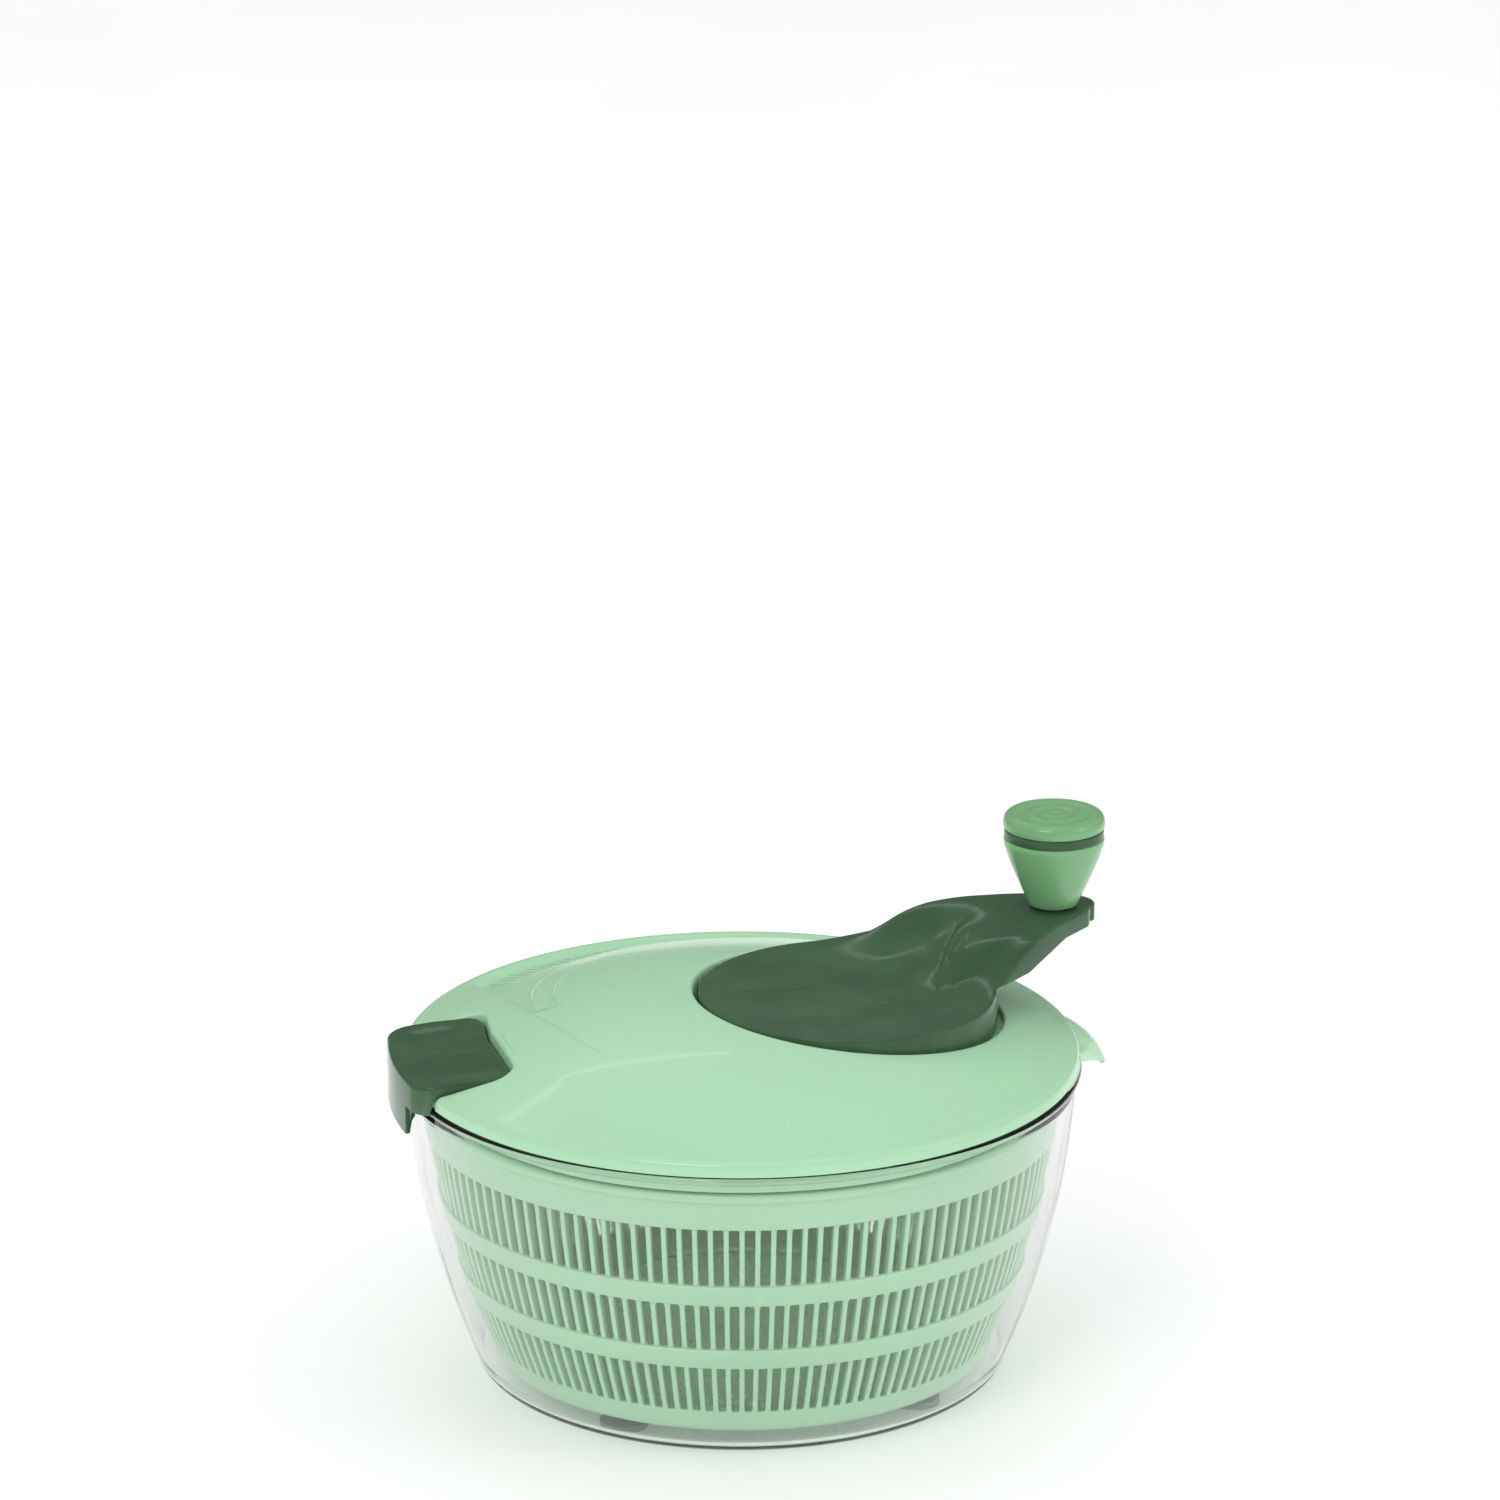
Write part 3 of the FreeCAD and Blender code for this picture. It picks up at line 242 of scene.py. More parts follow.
def make_piece(name, shape, material, body, nodes, sharp=32):
    """A mesh in metres that stands for CAD nodes, rides on a body and takes the material it is given."""
    points, faces = shape
    mesh = bpy.data.meshes.new(name)
    mesh.from_pydata([(x * MM, y * MM, z * MM) for x, y, z in points], [], faces)
    piece = bpy.data.objects.new(name, mesh)
    bpy.context.scene.collection.objects.link(piece)
    build = bmesh.new()
    build.from_mesh(mesh)
    bmesh.ops.remove_doubles(build, verts=build.verts, dist=1e-7)
    bmesh.ops.delete(build, geom=[point for point in build.verts if not point.link_faces], context="VERTS")
    bmesh.ops.recalc_face_normals(build, faces=build.faces)
    build.to_mesh(mesh)
    build.free()
    mesh.shade_smooth()
    mesh.set_sharp_from_angle(angle=math.radians(sharp))
    mesh.materials.append(material)
    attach(piece, body)
    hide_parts(*nodes)
    return piece


# ---------------------------------------------------------------- materials

def linear(red, green, blue):
    """The colour for a shader from the usual 0 to 255 screen values."""
    return tuple(((c / 255 + 0.055) / 1.055) ** 2.4 for c in (red, green, blue)) + (1,)


class Nodes:
    """The nodes of one material, made and linked in short calls."""

    def __init__(self, name):
        self.material = bpy.data.materials.new(name)
        self.material.use_nodes = True
        self.tree = self.material.node_tree
        self.shader = self.tree.nodes["Principled BSDF"]
        self.place = self.add("ShaderNodeTexCoord").outputs["Object"]

    def add(self, kind, **settings):
        node = self.tree.nodes.new(kind)
        for name, value in settings.items():
            setattr(node, name, value)
        return node

    def link(self, output, target):
        self.tree.links.new(output, target)

    def set(self, **values):
        for name, value in values.items():
            self.shader.inputs[name.replace("_", " ")].default_value = value

    def noise(self, size_mm, detail=3, stretch=(1, 1, 1)):
        """Noise whose blobs are about that size, in the object's own coordinates."""
        mapping = self.add("ShaderNodeMapping")
        mapping.inputs["Scale"].default_value = stretch
        self.link(self.place, mapping.inputs["Vector"])
        noise = self.add("ShaderNodeTexNoise")
        noise.inputs["Scale"].default_value = 1 / (size_mm * MM)
        noise.inputs["Detail"].default_value = detail
        self.link(mapping.outputs["Vector"], noise.inputs["Vector"])
        return noise.outputs["Fac"]

    def ramp(self, value, low, high, start=0.35, stop=0.65):
        """A value spread evenly between two results."""
        spread = self.add("ShaderNodeMapRange")
        for name, number in (("From Min", start), ("From Max", stop), ("To Min", low), ("To Max", high)):
            spread.inputs[name].default_value = number
        self.link(value, spread.inputs["Value"])
        return spread.outputs["Result"]

    def mix(self, share, first, second):
        """Two colours, or outputs of colour, mixed by a share."""
        mixer = self.add("ShaderNodeMix", data_type="RGBA")
        self.link(share, mixer.inputs["Factor"])
        for name, colour in (("A", first), ("B", second)):
            target = next(s for s in mixer.inputs if s.name == name and s.type == "RGBA")
            if isinstance(colour, tuple):
                target.default_value = colour
            else:
                self.link(colour, target)
        return next(s for s in mixer.outputs if s.type == "RGBA")

    def bump(self, *layers):
        """Relief from (height output, depth in mm) layers."""
        normal = None
        for height, depth_mm in layers:
            relief = self.add("ShaderNodeBump")
            relief.inputs["Strength"].default_value = 1
            relief.inputs["Distance"].default_value = depth_mm * MM
            self.link(height, relief.inputs["Height"])
            if normal is not None:
                self.link(normal, relief.inputs["Normal"])
            normal = relief.outputs["Normal"]
        self.link(normal, self.shader.inputs["Normal"])

    def edges(self, colour, edge_colour, strength=1.0):
        """A colour that lightens along worn convex edges."""
        pointed = self.add("ShaderNodeNewGeometry").outputs["Pointiness"]
        return self.mix(self.ramp(pointed, 0, strength, 0.52, 0.62), colour, edge_colour)


def shaded(colour, factor):
    return tuple(min(c * factor, 1) for c in colour[:3]) + (1,)


def moulded_plastic(name, colour, roughness, coat, translucency=0.0, wear=0.35):
    """Injection-moulded plastic: faint flow marks, fine handling scratches and slightly rubbed edges."""
    nodes = Nodes(name)
    flow = nodes.mix(nodes.ramp(nodes.noise(70, 2), 0, 1), shaded(colour, 0.98), shaded(colour, 1.02))
    speckle = nodes.mix(nodes.ramp(nodes.noise(0.7, 2), 0, 0.3), flow, shaded(colour, 1.04))
    nodes.link(nodes.edges(speckle, shaded(colour, 1.25), wear), nodes.shader.inputs["Base Color"])
    haze = nodes.noise(14, 5)
    scratches = nodes.noise(0.45, 2, stretch=(1, 0.06, 1))
    blend = nodes.add("ShaderNodeMath", operation="MULTIPLY_ADD")
    nodes.link(nodes.ramp(scratches, 0, 0.03, 0.55, 0.75), blend.inputs[0])
    blend.inputs[1].default_value = 1
    nodes.link(nodes.ramp(haze, roughness * 0.94, roughness * 1.1), blend.inputs[2])
    nodes.link(blend.outputs[0], nodes.shader.inputs["Roughness"])
    nodes.bump((nodes.noise(2.2, 3), 0.005), (nodes.noise(40, 1), 0.02), (scratches, 0.0012))
    nodes.set(IOR=1.48, Coat_Weight=coat, Coat_Roughness=0.05)
    if translucency:
        nodes.set(Subsurface_Weight=translucency, Subsurface_Scale=0.004, Subsurface_Radius=(0.6, 1.0, 0.6))
    return nodes.material


def clear_plastic(name):
    """Clear polystyrene: slight haze, soft moulding waves and faint scratches."""
    nodes = Nodes(name)
    tint = nodes.mix(nodes.ramp(nodes.noise(60, 2), 0, 1), (0.88, 0.882, 0.882, 1), (0.895, 0.897, 0.897, 1))
    nodes.link(tint, nodes.shader.inputs["Base Color"])
    nodes.link(nodes.ramp(nodes.noise(18, 4), 0.0, 0.045), nodes.shader.inputs["Roughness"])
    waves = nodes.noise(34, 2, stretch=(1, 1, 0.35))
    scratches = nodes.noise(0.5, 2, stretch=(1, 1, 0.08))
    nodes.bump((waves, 0.16), (scratches, 0.0012))
    nodes.set(IOR=1.53, Transmission_Weight=1)
    return nodes.material


def smoke_green_plastic(name):
    """Dark green translucent plastic with a polished face."""
    nodes = Nodes(name)
    colour = linear(64, 96, 68)
    depth = nodes.mix(nodes.ramp(nodes.noise(24, 4), 0, 1), shaded(colour, 0.86), shaded(colour, 1.12))
    nodes.link(nodes.edges(depth, linear(120, 160, 122), 0.5), nodes.shader.inputs["Base Color"])
    nodes.link(nodes.ramp(nodes.noise(9, 3), 0.1, 0.15), nodes.shader.inputs["Roughness"])
    scratches = nodes.noise(0.4, 2, stretch=(1, 0.05, 1))
    nodes.bump((nodes.noise(14, 3), 0.03), (nodes.noise(1.4, 2), 0.004), (scratches, 0.0015))
    nodes.set(IOR=1.45, Transmission_Weight=0.12, Specular_IOR_Level=0.24)
    return nodes.material


def rubber(name):
    nodes = Nodes(name)
    colour = linear(128, 129, 131)
    dust = nodes.mix(nodes.ramp(nodes.noise(1.6, 5), 0, 1), shaded(colour, 0.85), shaded(colour, 1.15))
    nodes.link(dust, nodes.shader.inputs["Base Color"])
    nodes.link(nodes.ramp(nodes.noise(0.8, 3), 0.55, 0.8), nodes.shader.inputs["Roughness"])
    nodes.bump((nodes.noise(0.5, 4), 0.03), (nodes.noise(3, 2), 0.05))
    return nodes.material


def steel(name):
    nodes = Nodes(name)
    colour = linear(196, 197, 200)
    stain = nodes.mix(nodes.ramp(nodes.noise(4, 4), 0, 1), shaded(colour, 0.86), shaded(colour, 1.05))
    nodes.link(stain, nodes.shader.inputs["Base Color"])
    turning = nodes.noise(0.25, 2, stretch=(0.05, 0.05, 1))
    nodes.link(nodes.ramp(turning, 0.18, 0.38), nodes.shader.inputs["Roughness"])
    nodes.bump((turning, 0.006), (nodes.noise(1.2, 3), 0.004))
    nodes.set(Metallic=1.0)
    return nodes.material


mint = moulded_plastic("mint_plastic", linear(167, 213, 175), 0.24, 0.2, translucency=0.1)
knob_mint = moulded_plastic("knob_mint_plastic", linear(118, 170, 120), 0.24, 0.25, translucency=0.1)
white_plastic = moulded_plastic("gear_plastic", linear(226, 226, 218), 0.38, 0.0, wear=0.2)
smoke_green = smoke_green_plastic("smoke_green_plastic")
clear = clear_plastic("clear_plastic")
grey_rubber = rubber("grey_rubber")
bright_steel = steel("bright_steel")


# ---------------------------------------------------------------- bowl and feet

def bowl_radius(height, inward=0.0):
    """The wall is an arc of radius 312 about a centre 188.4 across the axis and 132.1 up."""
    return math.sqrt((312 - inward) ** 2 - (height - 132.1) ** 2) - 188.4


def make_bowl():
    wall, base, rim, top = 2.2, bowl_low.z, bowl_high.x, bowl_high.z
    corner = base + 6
    heights = [corner + (top - 5 - corner) * step / 40 for step in range(41)]
    floor = base + 2.5
    outline = [(0, base), (60, base)]
    outline += [(90 + (bowl_radius(corner) - 90) * math.sin(a), corner - 6 * math.cos(a))
                for a in (math.pi / 2 * step / 8 for step in range(8))]
    outline += [(bowl_radius(z), z) for z in heights]
    outline += rounded([(rim, top - 5, 1.1), (rim, top, 1.4), (bowl_radius(top, wall), top, 0.9)])
    outline += [(bowl_radius(z, wall), z) for z in heights[::-1]]
    outline += [(90 + (bowl_radius(corner, wall) - 90) * math.sin(a), corner - (corner - floor) * math.cos(a))
                for a in (math.pi / 2 * step / 8 for step in range(7, -1, -1))]
    outline += [(40, floor), (20, floor)]
    # the pivot: a cone with a hollow flank and a ball tip
    outline += [(17 - 12.8 * math.sin(a), floor + 7.2 - 7.2 * math.cos(a))
                for a in (math.pi / 2 * step / 10 for step in range(11))]
    tip = floor + 12
    outline += [(2.6 * math.cos(a), tip - 2.6 + 2.6 * math.sin(a))
                for a in (math.pi / 2 * step / 6 for step in range(7))]
    outline[-1] = (0, tip)
    bowl = make_piece("clear_bowl", revolved(outline), clear, "base", ["bowl"], sharp=50)
    bowl.visible_shadow = False
    bowl.visible_diffuse = False


def make_feet():
    for number in range(1, 5):
        low, high = extent(f"foot_{number}")
        centre = ((low + high) / 2).xy
        radius, top = (high.x - low.x) / 2, high.z - 0.03
        edge = rounded([
            (radius - 3.2, 0.35, 0.3), (radius - 2.6, 0, 0.3), (radius, 0, 0.8), (radius, top, 0.3)])
        pad = revolved([(0, 0.35), *edge, (0, top)], centre, 64)
        make_piece(f"rubber_foot_{number}", pad, grey_rubber, "base", [f"foot_{number}"])


# ---------------------------------------------------------------- basket

RIBS = 128


def basket_radius(height):
    return math.sqrt(303**2 - (height - 134.8) ** 2) - 185.4


def basket_band(bottom, top, proud, inner):
    """One band round the basket with rounded edges."""
    outline = rounded([
        (basket_radius(bottom) - inner, bottom, 0.5),
        (basket_radius(bottom) + proud, bottom, 0.6),
        (basket_radius(top) + proud, top, 0.6),
        (basket_radius(top) - inner, top, 0.5),
    ], steps=4)
    return revolved(outline)


def basket_rib(angle, levels, slot_ends, rib_top):
    """One upright rib. It widens into the bands at the slots' ends, and its top is cut to a chisel's edge."""
    cos, sin = math.cos(angle), math.sin(angle)
    sections = []
    for z in levels:
        nearest = min(abs(z - end) for end in slot_ends)
        half = 0.92 + rounded_over(nearest, 1.1) * 0.75
        depth = 4.3 * smooth((rib_top - z) / 5 + 0.15)
        outer = basket_radius(z) - 0.15
        narrow = half * (0.72 if depth > 2 else 0.5)
        section = []
        for inward, across in ((0, -half * 0.7), (0, half * 0.7), (0.3, half), (depth * 0.5, half * 0.9),
                               (depth - 0.35, narrow), (depth, narrow * 0.6), (depth, -narrow * 0.6),
                               (depth - 0.35, -narrow), (depth * 0.5, -half * 0.9), (0.3, -half)):
            r = outer - inward
            section.append((r * cos - across * sin, r * sin + across * cos, z))
        sections.append(section)
    return loft(sections)


def floor_holes():
    """Slanted holes in eight sectors, with plain spokes between them."""
    holes = []
    for sector in range(8):
        turn = math.radians(45 * sector + 22.5)
        for row in range(9):
            reach = 22 + 6.4 * row
            columns = int(2 * (reach * math.tan(math.radians(22.5)) - 4.2) / 5.4) + 1
            for column in range(columns):
                across = (column - (columns - 1) / 2) * 5.4
                corners = [(reach - 2.1, across - 2.0, 0.5), (reach + 2.1, across - 0.8, 0.5),
                           (reach + 2.1, across + 2.2, 0.5), (reach - 2.1, across + 1.0, 0.5)]
                loop = rounded(corners, steps=2)
                holes.append(turned(loop, turn))
    return holes


def make_basket():
    top, low = basket_high.z, basket_low.z
    floor = low + 2
    rim_bottom = top - 14
    bands = [(rim_bottom - 31, rim_bottom - 23), (rim_bottom - 58, rim_bottom - 50)]
    base_top = rim_bottom - 78
    lip = basket_high.x
    slot_ends = [rim_bottom, base_top, *[z for band in bands for z in band]]
    rim = revolved(rounded([
        (basket_radius(rim_bottom) - 1.8, rim_bottom, 0.4),
        (basket_radius(rim_bottom) + 0.9, rim_bottom, 0.7),
        (basket_radius(top - 3) + 0.9, top - 3, 0.4),
        (lip, top - 3, 0.7),
        (lip, top, 1.1),
        (basket_radius(top) - 1.8, top, 0.8),
    ]))
    corner = floor + 6.5
    base = [(78, floor), (80, floor), (80, low + 0.3), (80.3, low), (82.6, low), (83, low + 0.4), (83, floor)]
    base += [(87.5 + (basket_radius(corner) - 87.5) * math.sin(a), corner - 6.5 * math.cos(a))
             for a in (math.pi / 2 * step / 8 for step in range(9))]
    base += [(basket_radius(base_top) - 0.3, base_top - 0.3), (basket_radius(base_top) - 0.6, base_top),
             (basket_radius(base_top) - 2.1, base_top)]
    base += [(basket_radius(corner) - 2.0, corner + 1), (86, floor + 3.2), (83, floor + 2), (78, floor + 2)]
    levels = [floor + 1.5, floor + 5]
    rib_top = top - 6.5
    z = base_top - 3
    while z < rib_top:
        levels.append(z)
        z += 0.35 if min(abs(z - end) for end in slot_ends) < 1.3 else 1.6
    levels = sorted(set(levels + [rib_top - 0.9, rib_top - 0.4, rib_top]))
    ribs = [basket_rib(2 * math.pi * index / RIBS, levels, slot_ends, rib_top) for index in range(RIBS)]
    plate = plan_shell(circle(79), floor_holes() + [circle(9.2, steps=64)], [], lattice(78, 6),
                       lambda x, y: floor + 2, lambda x, y: floor, clear=2)
    hub_top = bowl_low.z + 2.5 + 12 + 0.8
    hub = revolved([
        (0, hub_top), (3.4, hub_top - 2.6), (5, floor), (10.5, floor), (10.5, floor + 1.2), (10, floor + 2),
        (8.6, floor + 2.2), (7.2, floor + 3.2), (5.9, hub_top - 1), (5.2, hub_top + 1), (3.8, hub_top + 2),
        (0, hub_top + 2.2),
    ], steps=64)
    shape = joined(rim, *(basket_band(low_edge, high_edge, 0.9, 1.8) for low_edge, high_edge in bands),
                   revolved(base), plate, hub, *ribs)
    make_piece("slotted_basket", shape, mint, "basket", ["basket"], sharp=40)


# ---------------------------------------------------------------- lid

LID_CROWN, LID_RIM, WELL, WELL_FLOOR = 145.0, 124.0, 57.0, 130.0
RECESS_FLOOR = 120.5


def dome(radius):
    """The lid's outer face: a nearly flat crown, an arc of radius 275, a cone, and a rounded shoulder."""
    if radius < 13.69:
        return LID_CROWN
    if radius < 90:
        return LID_CROWN - 275 + math.sqrt(275**2 - (radius - 13.69) ** 2)
    if radius < 121:
        return 134.2 - (radius - 90) * 8.2 / 31
    return 123.3 + 2.7 * math.sqrt(max(1 - ((radius - 121) / 3) ** 2, 0))


# Terraces behind the crank: each arc is (centre x, centre y, radius)
TERRACES = [(5, 17, 70), (9, 20, 81.5), (6, 10, 92.8)]


def fold_line(y):
    """Where the fold in front of the terraces crosses the lid."""
    return -76 - 0.2557 * (y - 18) + 0.00124 * (y - 18) ** 2


def terrace_drop(x, y):
    radius = math.hypot(x, y)
    beyond_fold = x - fold_line(y)
    bearing = math.degrees(math.atan2(y - 15, x - 5))
    share = smooth(beyond_fold / 1.6) * smooth((bearing - 35) / 55) if y > 0 else 0
    share *= smooth((y - 2) / 14) * smooth((119 - radius) / 3.5)
    drop = sum(0.8 * smooth((math.hypot(x - cx, y - cy) - reach) / 1.1) for cx, cy, reach in TERRACES)
    fold = 0.4 * math.exp(-(beyond_fold / 0.8) ** 2) * smooth((y + 45) / 20) * smooth((92 - radius) / 15)
    return drop * share + fold


# The latch's outer end is an arc of this radius.
END_RADIUS = 150


def latch_plan(grow=0.0):
    """The latch's outline in plan, seen from above with the latch's outer end on -X."""
    inner, outer = latch_high.x + grow, latch_low.x - grow
    back, front = latch_high.y + grow, latch_low.y - grow
    shoulder = outer + 3
    return rounded([
        (outer - 1.2, 0, END_RADIUS), (shoulder, front, 9 + grow), (inner, front, 8 + grow),
        (inner - 2.4, 9, 12), (inner - 0.6, back, 6 + grow), (shoulder, back, 9 + grow),
    ], steps=8)


def vent_outlines(grow=0.0):
    """Seventeen radial vents beside the fold."""
    loops = []
    for index in range(17):
        angle = math.radians(99 + 2.25 * index)
        loop = rounded([(103 - grow, -1.2 - grow, 0.5 + grow), (113 + grow, -1.2 - grow, 0.5 + grow),
                        (113 + grow, 1.2 + grow, 0.5 + grow), (103 - grow, 1.2 + grow, 0.5 + grow)], steps=3)
        loops.append(turned(loop, angle))
    return loops


def make_lid():
    wall = 2.5
    gap = 0.8
    half = latch_high.y + gap
    recess = latch_plan(gap)
    to_recess = distance_outside(recess)
    notch_rim = math.pi - math.asin(half / LID_RIM)
    notch_skirt = math.pi - math.asin(half / 118)
    outline = circle(LID_RIM, start=-notch_rim, turn=2 * notch_rim)
    outline += circle(118, steps=40, start=notch_skirt, turn=2 * (math.pi - notch_skirt))
    well = crank_axis
    near_recess = min(x for x, _ in recess) - 5, max(x for x, _ in recess) + 6

    def vent_edge(x, y):
        """How far a point is outside the nearest vent."""
        radius, bearing = math.hypot(x, y), math.degrees(math.atan2(y, x))
        if not (100 < radius < 116 and 97 < bearing < 137):
            return 9
        off = (bearing - 99) / 2.25
        off = math.radians((off - round(off)) * 2.25) * radius
        return max(abs(off) - 1.2, abs(radius - 108) - 5, 0)

    def top(x, y):
        radius = math.hypot(x, y)
        height = dome(radius) - terrace_drop(x, y)
        from_well = math.hypot(x - well.x, y - well.y)
        if from_well < 11:
            return 135.5 - rounded_over(11 - from_well, 0.6) - rounded_over(from_well - 7.1, 0.5)
        if from_well < WELL:
            return WELL_FLOOR + 1.5 * (1 - smooth((from_well - 11) / 2))
        if from_well < WELL + 1.6:
            height -= rounded_over(from_well - WELL - 0.08, min(1.4, (height - WELL_FLOOR) * 0.7))
        if near_recess[0] < x < near_recess[1] and abs(y) < half + 6:
            out = to_recess(x, y)
            if out < 0.05 and radius < 118.01:
                return RECESS_FLOOR
            height -= rounded_over(out - 0.15, 1.1)
        height -= rounded_over(vent_edge(x, y), 0.45)
        return height

    def bottom(x, y):
        radius = math.hypot(x, y)
        from_well = math.hypot(x - well.x, y - well.y)
        if radius > 118.02:
            return 120.3
        if radius > 115.85:
            return 112.5
        height = dome(radius) - terrace_drop(x, y) - wall
        if radius < 4:
            return 113.2
        if from_well < WELL + wall:
            height = min(height, WELL_FLOOR - wall)
        if near_recess[0] < x < near_recess[1] and to_recess(x, y) < wall:
            height = min(height, RECESS_FLOOR - 2)
        return height

    lines = [(circle(r), True)
             for r in (123.85, 123.4, 122.6, 121.6, 120.6, 118.1, 117.98, 115.9, 115.8, 90, 4.05, 3.95)]
    lines += [(circle(WELL + d, well), True) for d in (-2, 0, 0.08, 0.25, 0.6, 1.0, 1.5, wall, wall + 0.1)]
    lines += [(circle(r, well, steps=96), True) for r in (7.4, 7.7, 10.5, 10.8, 11, 11.08, 13)]
    lines += [(latch_plan(gap + d), True) for d in (0.15, 0.32, 0.62, 1.2, wall, wall + 0.1)]
    lines += [(recess, True)]
    lines += [(loop, True) for grow in (0.15, 0.45) for loop in vent_outlines(grow)]
    for cx, cy, reach in TERRACES:
        for offset in (-0.4, 0.0, 0.35, 0.75, 1.1, 1.6):
            arc = circle(reach + offset, (cx, cy), steps=150, start=math.radians(30), turn=math.radians(150))
            arc = [(x, y) for x, y in arc if x > fold_line(y) - 1 and math.hypot(x, y) < 114 and
                   math.hypot(x - well.x, y - well.y) > WELL + 3]
            lines.append((arc, False))
    for offset in (-1.2, -0.5, 0, 0.5, 1.2, 1.8):
        fold = [(fold_line(y) + offset, y) for y in range(-44, 78, 2)]
        lines.append((fold, False))
    holes = [circle(7.06, well, steps=96), *vent_outlines()]
    shell = plan_shell(outline, holes, lines, lattice(LID_RIM, 2.6), top, bottom)
    shape = joined(shell, pouring_lip())
    make_piece("lid_shell", shape, mint, "lid", ["lid_cover"], sharp=38)


def bent(start, pull, stop, share):
    """A point on the curve from start to stop that leaves towards pull and arrives from it."""
    return start * (1 - share) ** 2 + pull * (2 * share * (1 - share)) + stop * share**2


def pouring_lip():
    """A beak that runs on from the lid's face, curves over and down to a point, and is hollow beneath."""
    tip = Vector((lid_high.x - 0.3, 0, 108.5))
    tip_edge = tip + Vector((0, 0.7, -0.3))
    rows, columns, wall = 44, 48, 2.2

    def face(share, side):
        """The outer face, from rim to tip as share goes 0 to 1, and edge to edge as side goes -1 to 1."""
        middle = bent(Vector((117, 0, 126.9)), Vector((132.4, 0, 124.6)), tip, share)
        edge = bent(Vector((116, 40, 121)), Vector((125.5, 14.5, 115.5)), tip_edge, share)
        groove = 0.9 * math.exp(-((abs(side) - 0.62) / 0.12) ** 2)
        groove *= smooth(share / 0.2) * smooth((0.9 - share) / 0.3)
        place = middle + (edge - middle) * side**2
        return Vector((place.x, edge.y * side, place.z - groove))

    sections = []
    for row in range(rows + 1):
        share = row / rows
        half_width = face(share, 1).y
        upper, lower = [], []
        for column in range(columns + 1):
            side = 2 * column / columns - 1
            here = face(share, side)
            along = face(min(share + 0.01, 1), side) - face(max(share - 0.01, 0), side)
            across = face(share, min(side + 0.02, 1)) - face(share, max(side - 0.02, -1))
            inward = across.cross(along).normalized()
            if inward.z > 0:
                inward = -inward
            to_edge = min((1 - abs(side)) * half_width * 1.3, (1 - share) * 24 + 0.2)
            edge = rounded_over(to_edge, 0.9)
            upper.append(tuple(here + inward * edge))
            lower.append(tuple(here + inward * max(wall - edge, edge + 0.05)))
        sections.append(upper + lower[::-1])
    return loft(sections)


# ---------------------------------------------------------------- latch

def make_latch():
    outline = latch_plan()
    to_edge = distance_outside(outline)
    inner, outer = latch_high.x, latch_low.x
    half, low = latch_high.y, latch_low.z
    pivot, pivot_up = -112.0, 124.5
    hook_half = 20

    def face(x):
        """The rocker's upper face, higher at the inner end."""
        share = (x - outer) / (inner - outer)
        return pivot_up + 3.4 + 2.9 * share + 0.9 * math.sin(math.pi * share)

    def top(x, y):
        inside_by = -to_edge(x, y)
        scoop = 1.5 * smooth(inside_by / 14) * smooth((inner - x) / 20 + 0.2)
        ridge = 0.5 * math.exp(-((y + 0.35 * (x - pivot)) / 3.2) ** 2) * smooth(inside_by / 8)
        return face(x) - scoop + ridge - rounded_over(inside_by, 1.5)

    def bottom(x, y):
        if -to_edge(x, y) < 2.3 and x < pivot - 8:
            return low if abs(y) < hook_half else 118
        if abs(x - pivot) < 3.3:
            return pivot_up - math.sqrt(max(3.3**2 - (x - pivot) ** 2, 0))
        if x < pivot - 3:
            return pivot_up - 1.2
        return min(face(x) - 4.2, pivot_up + 0.2 + 0.1 * (x - pivot))

    lines = [(latch_plan(-d), True) for d in (0.06, 0.25, 0.6, 1.0, 1.5, 3)]
    for x in (outer + 2.25, outer + 2.35, *(pivot + off for off in (-3.4, -3.3, -2.5, 0, 2.5, 3.3))):
        lines.append(([(x, -half + 0.2 + step * (2 * half - 0.4) / 60) for step in range(61)], False))
    for y in (-hook_half - 0.05, -hook_half + 0.05, hook_half - 0.05, hook_half + 0.05):
        lines.append(([(outer + 0.02 + 2.3 * step / 6, y) for step in range(7)], False))
    middle = ((inner + outer) / 2, 0)
    shell = plan_shell(outline, [], lines, lattice(45, 1.5, middle), top, bottom, clear=0.5)
    tooth = rounded([(outer + 1.5, 116.2, 0.3), (outer + 3.8, 115.6, 0.5), (outer + 3.8, 113.4, 0.7),
                     (outer + 1.5, 110.4, 0.3)], steps=3)
    bar = loft([[(x + y * y / (2 * END_RADIUS), y, z) for x, z in tooth]
                for y in ((hook_half - 0.6) * step / 8 for step in range(-8, 9))])
    shape = joined(shell, bar)
    make_piece("rocker_latch", shape, smoke_green, "latch", ["latch"], sharp=40)


# ---------------------------------------------------------------- crank

CRANK_DISC, DISC_TOP, ARM_TOP, ARM_UNDER = 55.0, 143.5, 159.5, 146.3


